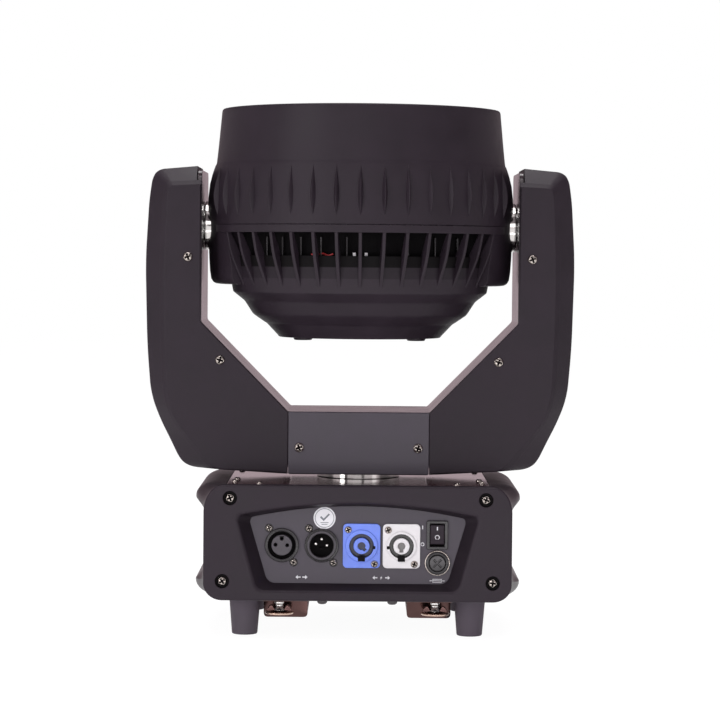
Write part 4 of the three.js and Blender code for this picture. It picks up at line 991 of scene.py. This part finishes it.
def arm_half(hand, end):
    """One shell of an arm cover: a bevelled face, a wall back to the seam and a hollow inside."""
    side = 1 if (hand == "right") == (end == "rear") else -1
    step_back = ARM_FACE - STRIP_HALF_DEPTH - 0.4
    hidden = STRIP_THICK + 0.3
    wall = 2.5
    rows = [
        (0, 0.9, 0, ARM_FACE), (0, 0.35, 0, ARM_FACE - 0.1), (0, 0, 0, ARM_FACE - 0.45),
        (step_back / BEVEL_DEPTH, 0, 0, ARM_FACE - step_back),
        (step_back / BEVEL_DEPTH, 0, hidden, ARM_FACE - step_back - 0.05),
        (0.955, 0, hidden, ARM_FACE - 10.5), (1, 0, hidden, ARM_FACE - 11.6),
        (1, 0, hidden, SEAM_GAP + 0.5), (1, 0.5, hidden, SEAM_GAP),
        (1, wall, hidden, SEAM_GAP), (1, wall, hidden, ARM_FACE - 12), (0.25, wall, hidden, ARM_FACE - 3.4),
    ]
    bm = skin(bmesh.new(), [(mirrored(arm_outline(*row), side), height) for *row, height in rows],
              ENDS[end])
    piece(f"arm_shell_{hand}_{end}", "yoke", bm, black_plastic, f"arm_cover_{hand}_{end}")
    spots = [(side * x, z) for x, z in ARM_SCREWS]
    screws(f"arm_screws_{hand}_{end}", "yoke", ENDS[end], spots, 3.5, ARM_FACE)


def yoke_strip():
    """The bent metal strip of both arms and the crossbar, with its top ends rounded in depth."""
    crown = [0.25 * TURN * k / 10 for k in (0, *range(2, 11), 10)]  # its last ring is doubled
    tops = [Vector((INNER_FACE, STRIP_TOP - STRIP_CROWN * (1 - math.cos(t)))) for t in crown]
    right = [(INNER_FACE, STRIP_TOP), (INNER_FACE, KNEE), (BAR_HALF, BAR_TOP)]
    bends = soften([*right, *((-x, z) for x, z in reversed(right))], 1.2, closed=False, steps=4)
    path = [*tops, *bends[1:-1], *mirrored(tops[::-1], -1)]
    bm = bmesh.new()
    loops = []
    for i, here in enumerate(path):
        along = (path[min(i + 1, len(path) - 1)] - path[max(i - 1, 0)]).normalized()
        outward = Vector((-along.y, along.x))
        rest = max(STRIP_CROWN - (STRIP_TOP - here.y), 0)
        half = STRIP_HALF_DEPTH - STRIP_CROWN + math.sqrt(STRIP_CROWN**2 - rest**2)
        section = rectangle(0, STRIP_THICK / 2, half, STRIP_THICK / 2, 0.5, steps=2)
        places = [(here + outward * p.y, p.x) for p in section]
        loops.append([bm.verts.new((spot.x, y, spot.y)) for spot, y in places])
    join(bm, loops, capped=True)
    low, high = YOKE_FLOOR, BAR_TOP - STRIP_THICK
    half, middle, high_half = BAR_HALF - 0.5, (low + high) / 2, (high - low) / 2
    wall = rectangle(0, middle, half, high_half + 0.5, 1)
    room = rectangle(0, middle, half - 3, high_half - 3, 1)
    slab(bm, wall, [room], -STRIP_HALF_DEPTH, STRIP_HALF_DEPTH, REAR)
    piece("yoke_strip", "yoke", bm, black_metal, "yoke_frame")


def crossbar_covers():
    middle = (YOKE_FLOOR + BAR_TOP) / 2
    plate = rectangle(0, middle, BAR_HALF - 0.3, BAR_TOP - middle, 0.8)
    for end, place in ENDS.items():
        bm = slab(bmesh.new(), plate, [], ARM_FACE - 2, ARM_FACE, place, 0.5, 3)
        piece(f"crossbar_plate_{end}", "yoke", bm, grey_metal, f"crossbar_cover_{end}")
        screws(f"crossbar_screws_{end}", "yoke", place, BAR_SCREWS, 3.6, ARM_FACE)


def hub():
    low, high, pulley = TOP_PLATE + 0.1, YOKE_FLOOR + 0.1, HUB_BOTTOM + 9.2
    profile = [(11, HUB_BOTTOM), (35, HUB_BOTTOM), (35, HUB_BOTTOM + 0.8), (33, HUB_BOTTOM + 0.8),
               (33, pulley - 0.8), (35, pulley - 0.8), (35, pulley), (18, pulley), (18, low), (30, low),
               (30, high), (11, high)]
    piece("pan_ring", "yoke", turned(bmesh.new(), profile, UP, 0.25, 96), chrome, "pan_hub")


def yoke():
    for hand in HANDS:
        for end in ENDS:
            arm_half(hand, end)
    yoke_strip()
    crossbar_covers()
    hub()
    keep("tilt_motor", black_metal, 0.8)
    keep("tilt_motor_pulley", aluminium)
    keep("tilt_belt", rubber, 0.2)


# ---- Head, built about the tilt axis: tables of (height, distance from the optical axis) ----

HEAD = at(UP, 0, 0, TILT_AXIS)
HEAD_SEGMENTS = 240

# The ears that carry the tilt shaft: half width at each height, and how fast they fall away fore and aft.
EAR_WIDTH = [(-42, 101), (-41.6, 104.2), (-40.6, 106.2), (-38, 107.8), (-32, 108.7), (-21, 109.4),
             (1, 109.9), (12, 110.3), (20, 110.2), (30, 109.0), (37, 106.8), (40, 105.2), (43, 103.2),
             (48, 96)]
EAR_FALL = 0.009
EAR_BLEND = 4.0
EAR_REACH = math.radians(45)
EAR_SECTOR = math.radians(26)
EAR_CORE = 84
FIN_REACH = [(-42, 93.0), (-28, 99.7), (-19, 103.3), (-5, 106.2), (1, 106.3)]
HOOD_WALL = [(0.5, 106.3), (30, 106.0), (38, 105.6), (43, 104.8), (44.5, 104.2), (55, 103.0), (82.6, 100.4)]
HOOD_HEIGHTS = [0.8, *range(3, 43, 3), 43, 43.8, 44.6, 46, 48, 52, 60, 70, 78, 81.9]
EAR_HEIGHTS = [-42, -41.6, -41, -40.3, -39.4, -38, -35, -32, -28, -23, -19, -14, -9, -5, -2, 0.55]


def along(table, height):
    """Straight-line reading of a (height, value) table."""
    for (low, a), (high, b) in zip(table, table[1:]):
        if height <= high:
            return lerp(a, b, max(height - low, 0) / (high - low))
    return 0.0


def from_ears(angle):
    """How far a direction turns away from the nearer end of the tilt axis."""
    return math.acos(min(abs(math.cos(angle)), 1.0))


def ear_radius(angle, height):
    """Distance from the optical axis to the ear's skin, or nothing where there is no ear."""
    width = along(EAR_WIDTH, height)
    turn = from_ears(angle)
    if turn > EAR_REACH or width == 0:
        return 0.0
    if turn < 1e-4:
        return width
    slope, fall = math.cos(turn), EAR_FALL * math.sin(turn) ** 2
    return (math.sqrt(slope * slope + 4 * fall * width) - slope) / (2 * fall)


def with_ears(radius, angle, height):
    """A round wall that swells smoothly into the ears."""
    ear = ear_radius(angle, height)
    gap = max(EAR_BLEND - abs(radius - ear), 0) / EAR_BLEND
    return max(radius, ear) + gap * gap * EAR_BLEND / 4


def polar(angles, radii):
    return [Vector((r * math.cos(t), r * math.sin(t))) for t, r in zip(angles, radii)]


def hood():
    """The front shell, one moulding with the upper halves of both ears."""
    angles = [TURN * k / HEAD_SEGMENTS for k in range(HEAD_SEGMENTS)]

    def ring(height, inset=0.0):
        wall = along(HOOD_WALL, height) - inset
        return polar(angles, [with_ears(wall, t, height) for t in angles]), height

    rim = [(100.2, 82.9), (99.6, 83.6), (98.9, 83.7), (97.2, 83.7), (97.2, 83.0), (97.5, 79.5), (102.4, 44),
           (104.0, 37.5), (104.0, 0.5)]
    rows = [ring(0.5, 0.3), *(ring(h) for h in HOOD_HEIGHTS)]
    rows += [(circle(0, 0, r, HEAD_SEGMENTS), h) for r, h in rim]
    piece("hood_shell", "head", skin(bmesh.new(), rows, HEAD, wrap=True), black_plastic, "head_hood")


RIB_LOW, RIB_HIGH, RIB_PEAK = 7.0, 41.5, 0.42
RIB_HALF, RIB_RISE = 1.7, 3.1
RIB_STEPS = 18
RIB_CLEAR = math.radians(12)
FIN_CLEAR = math.radians(26)


def round_the_head(clear):
    """Directions of the fins that miss the ears by an angle."""
    directions = [TURN * k / FIN_COUNT for k in range(FIN_COUNT)]
    return [angle for angle in directions if from_ears(angle) > clear]


def ribs():
    """Spindle-shaped ribs round the foot of the hood, one over each fin."""
    bm = bmesh.new()
    for angle in round_the_head(RIB_CLEAR):
        turn = at(HEAD, 0, 0, turn=angle / TURN)
        loops = []
        for share in (step / RIB_STEPS for step in range(RIB_STEPS + 1)):
            swell = math.sin(math.pi * share ** (math.log(0.5) / math.log(RIB_PEAK))) ** 1.3
            z = lerp(RIB_LOW, RIB_HIGH, share)
            surface = with_ears(along(HOOD_WALL, z), angle, z)
            half, rise = 0.15 + RIB_HALF * swell, 0.02 + RIB_RISE * swell
            left = [(surface - 1, -half), (surface, -half), (surface + 0.9 * rise, -0.25 * half)]
            section = [*left, (surface + rise, 0), *((r, -y) for r, y in reversed(left))]
            loops.append([bm.verts.new(turn @ Vector((r, y, z))) for r, y in section])
        join(bm, loops, capped=True)
    piece("hood_ribs", "head", bm, black_plastic)


BAND_BOTTOM = -5
CUP_TOP = -21
CUP_SHADE = (-37, -29)  # heights above which the cup's wall darkens, because the fins shade it
CAP_BOTTOM = -79.7
CAP_BOSSES = (-41, 41)


def rear_housing():
    band = [(107, 0.35, 0.2), (107, BAND_BOTTOM), (103.6, BAND_BOTTOM), (103.6, 0.35)]
    bm = turned(bmesh.new(), band, HEAD, 0.6, HEAD_SEGMENTS, 3)
    piece("rear_band", "head", bm, black_plastic, "head_rear_housing")
    outer = [(0, CAP_BOTTOM, 0), (58.3, CAP_BOTTOM, 0.5), (59.5, -78.2, 0.8), (67.3, -69.9, 1.5),
             (69, -69.0, 0.6), (77.3, -63.3, 1.5), (83.4, -53.8, 1.5), (85.2, -52.4, 0.6),
             (91.7, -47.3, 0.6), (92.4, -43.9, 0.5), (93.7, -37, 0), (95.1, -29, 0), (96.5, CUP_TOP, 0.4)]
    inner = [(94, CUP_TOP, 0.4), (89, -44.5, 2), (80.5, -52.5, 3), (74.5, -61, 3),
             (56.5, CAP_BOTTOM + 3, 3), (0, CAP_BOTTOM + 3, 0)]
    bm = turned(bmesh.new(), outer + inner, HEAD, 0.5, HEAD_SEGMENTS, 4)
    # Painted shade: faces above the CUP_SHADE heights get darker materials, in two steps towards the band,
    # where the fins shade the wall.
    for face in bm.faces:
        height = face.calc_center_median().z - TILT_AXIS
        face.material_index = sum(height > shade for shade in CUP_SHADE)
    piece("rear_cup", "head", bm, [black_plastic, recess_painted_shade, bore_painted_shade])
    bm = bmesh.new()
    for x in CAP_BOSSES:
        turned(bm, [(0, -82.2), (6.1, -82.2), (6.75, -81.4), (6.9, -74), (0, -74)], at(HEAD, x, 0), 0.4)
    piece("rear_bosses", "head", bm, black_plastic)


def fins():
    outline = soften([(104.2, -2, 0.5), (106.4, BAND_BOTTOM + 0.5, 1), (103.3, -19, 4), (99.7, -28, 4),
                      (92.4, -43.5, 1), (90.4, -43.5, 0.5), (94.2, CUP_TOP - 1, 1), (103.9, -3, 1)],
                     1, steps=3)
    bm = bmesh.new()
    for angle in round_the_head(FIN_CLEAR):
        slab(bm, outline, [], -1.2, 1.2, at(HEAD, 0, 0, turn=angle / TURN) @ REAR, 0.5, 3)
    piece("cooling_fins", "head", bm, black_plastic)


def cheeks():
    """The lower halves of the ears, and the tilt shafts."""
    steps = [lerp(-EAR_SECTOR, EAR_SECTOR, k / 60) for k in range(61)]
    for hand, middle, end in (("left", math.pi, 120), ("right", 0, box_mm("trunnion_right")[1].x)):
        angles = [middle + t for t in steps]
        core = polar(angles[::-1], [EAR_CORE] * len(angles))
        rows = [(polar(angles, [with_ears(along(FIN_REACH, h) - 0.8, t, h) for t in angles]) + core, h)
                for h in EAR_HEIGHTS]
        bm = skin(bmesh.new(), rows, HEAD)
        piece(f"ear_{hand}", "head", bm, black_plastic, f"cheek_{hand}")
        profile = [(0, 106), (17.0, 106), (17.6, 110.0), (17.6, 111.6), (17.0, 112.1), (14.6, 112.1),
                   (14.3, 111.7), (12, 111.7), (12, end), (0, end)]
        bm = turned(bmesh.new(), profile, at(HANDS[hand], 0, TILT_AXIS), 0.2, 96)
        piece(f"trunnion_shaft_{hand}", "head", bm, chrome, f"trunnion_{hand}")


LENS_PITCH = 38
LENS_RADIUS = 17.6
LENS_PLACES = [((k - (4 - abs(row)) / 2) * LENS_PITCH, row * LENS_PITCH * math.sqrt(0.75))
               for row in range(-2, 3) for k in range(5 - abs(row))]


def lens_carriage():
    top = box_mm("lens_plate")[1].z - TILT_AXIS
    holes = [circle(x, y, 15.6, 48) for x, y in LENS_PLACES]
    bm = slab(bmesh.new(), circle(0, 0, 95, HEAD_SEGMENTS), holes, top - 3, top, HEAD)
    slab(bm, rectangle(0, -92, 4, 3.5, 1), [], top - 3, top - 0.1, HEAD)
    turned(bm, [(0, 20), (2, 20), (2, top - 1), (0, top - 1)], at(HEAD, 0, -94.5), segments=24)
    piece("lens_tray", "zoom_carriage", bm, black_metal, "lens_plate")
    rims = [circle(x, y, 15.2, 48) for x, y in LENS_PLACES]
    rim = [(15.2, top + 1.0), (LENS_RADIUS, top + 1.0), (LENS_RADIUS, top + 2.6), (16.6, top + 3.2),
           (15.2, top + 2.4)]
    dome = [(p.x, top + 1.4 + p.y) for p in quarter(0, 0, 14.9, 5.4, 0, 8)[:-1]]
    lens = [(0, top - 0.6), (14.9, top - 0.6), *dome, (0, top + 6.8)]
    cup = [(5, top - 20), (5.8, top - 20), (15.4, top - 3.0), (14.7, top - 3.0)]
    bezel = slab(bmesh.new(), circle(0, 0, 94, HEAD_SEGMENTS), rims, top + 0.3, top + 1.8, HEAD, 0.4)
    domes, cups = bmesh.new(), bmesh.new()
    for spot in (at(HEAD, x, y) for x, y in LENS_PLACES):
        turned(bezel, rim, spot, segments=48)
        turned(domes, lens, spot, 0, 48)
        turned(cups, cup, spot, 0.2, 40)
    piece("lens_bezel", "zoom_carriage", bezel, black_plastic, "lens_array")
    piece("lens_domes", "zoom_carriage", domes, clear_lens)
    piece("light_cups", "zoom_carriage", cups, aluminium)


def leds():
    high = box_mm("led_board")[1]
    top = high.z - TILT_AXIS
    bm = slab(bmesh.new(), circle(0, 0, high.y, 96), [], top - 1.6, top, HEAD, 0.1)
    piece("led_board_disc", "head", bm, white_plastic, "led_board")
    bases, chips = bmesh.new(), bmesh.new()
    for x, y in LENS_PLACES:
        if math.hypot(x, y) < high.y - 3:
            slab(bases, rectangle(x, y, 3.5, 3.5, 0.4), [], top, top + 0.8, HEAD, 0.1)
            chip = [(0, top + 0.7), (2.5, top + 0.7), (2.1, top + 1.7), (0, top + 2.3)]
            turned(chips, chip, at(HEAD, x, y), 0.5, 24)
    piece("led_bases", "head", bases, grey_plastic, slot="white_plastic")
    piece("led_chips", "head", chips, led_amber)


SHADE_LINER = 92.0
ROD_PLACES = (-65, -54, -41, -27, -9.2, 33, 52, 68)
PLUG_PLACES = (-4, 4.1)
WIRE_SPANS = ((-0.37, -0.31), (-0.3, -0.2))


def innards():
    """A near-black liner, a sheet that paints the shade deep inside the head, and the rods, plugs and wires
    seen between the fins in front of it.
    """
    bottom = CUP_TOP - 6
    # The liner is a near-black sheet put inside the head to paint its shade.
    shade_liner = [(SHADE_LINER, bottom), (SHADE_LINER, -2), (103.8, -2), (103.8, -1), (SHADE_LINER - 1, -1), (SHADE_LINER - 1, bottom)]
    bm = turned(bmesh.new(), shade_liner, HEAD, segments=HEAD_SEGMENTS)
    piece("rear_shade_liner", "head", bm, liner_painted_shade)
    reach = SHADE_LINER + 1.2
    bm = bmesh.new()
    for x in ROD_PLACES:
        spot = at(HEAD, x, -math.sqrt(reach**2 - x * x))
        turned(bm, [(0, -24), (0.8, -24), (0.8, -8), (0, -8)], spot, 0.2, 16)
    piece("standoff_rods", "head", bm, smoke_metal)
    bm = bmesh.new()
    for x in PLUG_PLACES:
        slab(bm, rectangle(x, -SHADE_LINER - 1.4, 1.1, 1.0, 0.3), [], -23, -18.8, HEAD)
    piece("wire_plugs", "head", bm, white_plastic)
    bm = bmesh.new()
    for span in WIRE_SPANS:
        turns = [lerp(*span, k / 6) for k in range(7)]
        path = [Vector((reach * math.sin(a), -reach * math.cos(a),
                        TILT_AXIS - 20.2 + 0.7 * math.sin(60 * a)))
                for a in turns]
        tube(bm, curve_through(path), 0.7)
    piece("wires_red", "head", bm, red_wire)


def head():
    hood()
    ribs()
    rear_housing()
    fins()
    cheeks()
    lens_carriage()
    leds()
    innards()
    keep("tilt_pulley", aluminium)
    keep("heatsink", aluminium, 0.3)
    keep("fan_frame", gloss_black, 0.3)
    keep("fan_rotor", gloss_black, 0.2)
    keep("zoom_actuator", black_metal, 0.4)


# ---- Stage, light and camera ----

FLOOR_HALF, FLOOR_DROP = 6000, 0.4
BACKDROP_GLOW = 0.85
GLOW_STRENGTH = 1.12
ROOM_FRONT = (0.30, 0.27, 0.30, 1.0)
ROOM_BACK = (0.55, 0.46, 0.51, 1.0)
UNLIT = (0.12, 0.10, 0.11, 1.0)

# Brightness of the room all round, seen in polished parts: (share of a turn from behind, level).
BANDS = [(0.0, 0.62), (0.2, 0.55), (0.25, 0.25), (0.285, 0.3), (0.3, 1.0), (0.385, 1.0), (0.395, 0.12),
         (0.41, 0.12), (0.42, 1.0), (0.52, 1.0), (0.53, 0.12), (0.54, 0.12), (0.55, 1.0), (0.65, 1.0),
         (0.68, 0.2), (0.75, 0.25), (0.8, 0.55), (1.0, 0.62)]
CEILING = [(0.0, 1.0), (0.56, 1.0), (0.6, 0.15), (0.9, 0.15), (0.93, 1.0), (1.0, 1.0)]

# (place, what it is aimed at, size, watts)
LAMPS = {
    "strip_left": ((-1.5, -1.5, 0.9), (0, 0, 0.2), (0.5, 1.8), 14),
    "strip_right": ((1.5, -1.5, 0.9), (0, 0, 0.2), (0.5, 1.8), 2),
    "table": ((0, -0.5, 0.02), (0, -0.1, 0.08), (0.8, 0.08), 0.6),
    "front": ((0, -2.6, 0.9), (0, 0, 0.2), (1.4, 0.7), 7),
    "top": ((0, 0.1, 2.2), (0, 0, 0.2), (1.6, 1.2), 34),
}

CAMERA_LENS = 132.13
CAMERA_SPOT = (0.00049, -1.9161, 0.2647)
CAMERA_PITCH = math.radians(2.216)
CAMERA_ROLL = math.radians(0.5)


def stage():
    """A pale floor that also glows a little, where it is seen or mirrored."""
    bm = bmesh.new()
    corners = rectangle(0, 0, FLOOR_HALF, FLOOR_HALF)
    bm.faces.new(new_ring(bm, UP, corners, -FLOOR_DROP))
    floor = make_object("floor", bm)
    paper = finish("floor_paper", None, (236, 236, 236), 0.9, grain=0.0, mottle=0.01, wear_and_highlight=0.0,
                   specular=0.0)
    tree = paper.node_tree
    seen = add(tree, "LightPath", "Is Camera Ray")
    mirrored_too = maths(tree, "MAXIMUM", seen, add(tree, "LightPath", "Is Glossy Ray"))
    share = maths(tree, "MULTIPLY", mirrored_too, BACKDROP_GLOW)
    glow = add(tree, "Emission", 0, {"Strength": GLOW_STRENGTH})
    surface = add(tree, "MixShader", 0, {0: share, 1: tree.nodes["Principled BSDF"].outputs[0], 2: glow})
    plug(tree, tree.nodes["Material Output"], {"Surface": surface})
    floor.data.materials.append(paper)


def show(name, data, spot, aim, roll=0.0):
    """Puts a lamp or camera in the scene, turned to look along aim."""
    obj = bpy.data.objects.new(name, data)
    obj.location = spot
    turn = Matrix.Rotation(roll, 3, "Z")
    obj.rotation_euler = (aim.to_track_quat("-Z", "Y").to_matrix() @ turn).to_euler()
    bpy.context.scene.collection.objects.link(obj)
    return obj


def lamps():
    for name, (spot, target, size, watts) in LAMPS.items():
        light = bpy.data.lights.new(name, "AREA")
        light.shape = "RECTANGLE"
        light.size, light.size_y = size
        light.energy = watts
        show(name, light, spot, Vector(target) - Vector(spot))


def ramp(tree, factor, levels):
    """Reads a (position, level) table off a factor, pinker towards its two ends."""
    colour = add(tree, "ValToRGB", "Color", {0: factor})
    stops = colour.node.color_ramp.elements
    while len(stops) < len(levels):
        stops.new(0.5)
    for stop, (share, level) in zip(stops, levels):
        stop.position = share
        end = abs(2 * share - 1)
        stop.color = (level, lerp(0.97, 0.78, end) * level, lerp(0.98, 0.84, end) * level, 1)
    return colour


def world():
    """White for the camera, a dim room for the light it gives, and softboxes for polished parts."""
    sky = bpy.data.worlds.new("studio")
    sky.use_nodes = True
    tree = sky.node_tree
    x, y, z = add(tree, "SeparateXYZ", 0, {0: add(tree, "TexCoord", "Generated")}).node.outputs
    room = mix_colour(tree, remap(tree, y, -0.6, 0.8, 0.0, 1.0), ROOM_FRONT, ROOM_BACK)
    azimuth = maths(tree, "ARCTAN2", x, maths(tree, "MULTIPLY", y, -1.0))
    around = ramp(tree, remap(tree, azimuth, -math.pi, math.pi, 0.0, 1.0), BANDS)
    upward = ramp(tree, remap(tree, z, -1.0, 1.0, 0.0, 1.0), CEILING)
    softboxes = mix_colour(tree, upward, UNLIT, around)
    lit = mix_colour(tree, add(tree, "LightPath", "Is Glossy Ray"), room, softboxes)
    seen = mix_colour(tree, add(tree, "LightPath", "Is Camera Ray"), lit, (1.0, 1.0, 1.0, 1.0))
    plug(tree, tree.nodes["Background"], {"Color": seen})
    bpy.context.scene.world = sky


def camera():
    data = bpy.data.cameras.new("camera")
    data.lens = CAMERA_LENS
    data.sensor_width = 36
    aim = Vector((0.0, math.cos(CAMERA_PITCH), -math.sin(CAMERA_PITCH)))
    bpy.context.scene.camera = show("camera", data, CAMERA_SPOT, aim, CAMERA_ROLL)


base()
yoke()
head()
stage()
world()
lamps()
camera()
bpy.context.scene.view_settings.view_transform = "Standard"
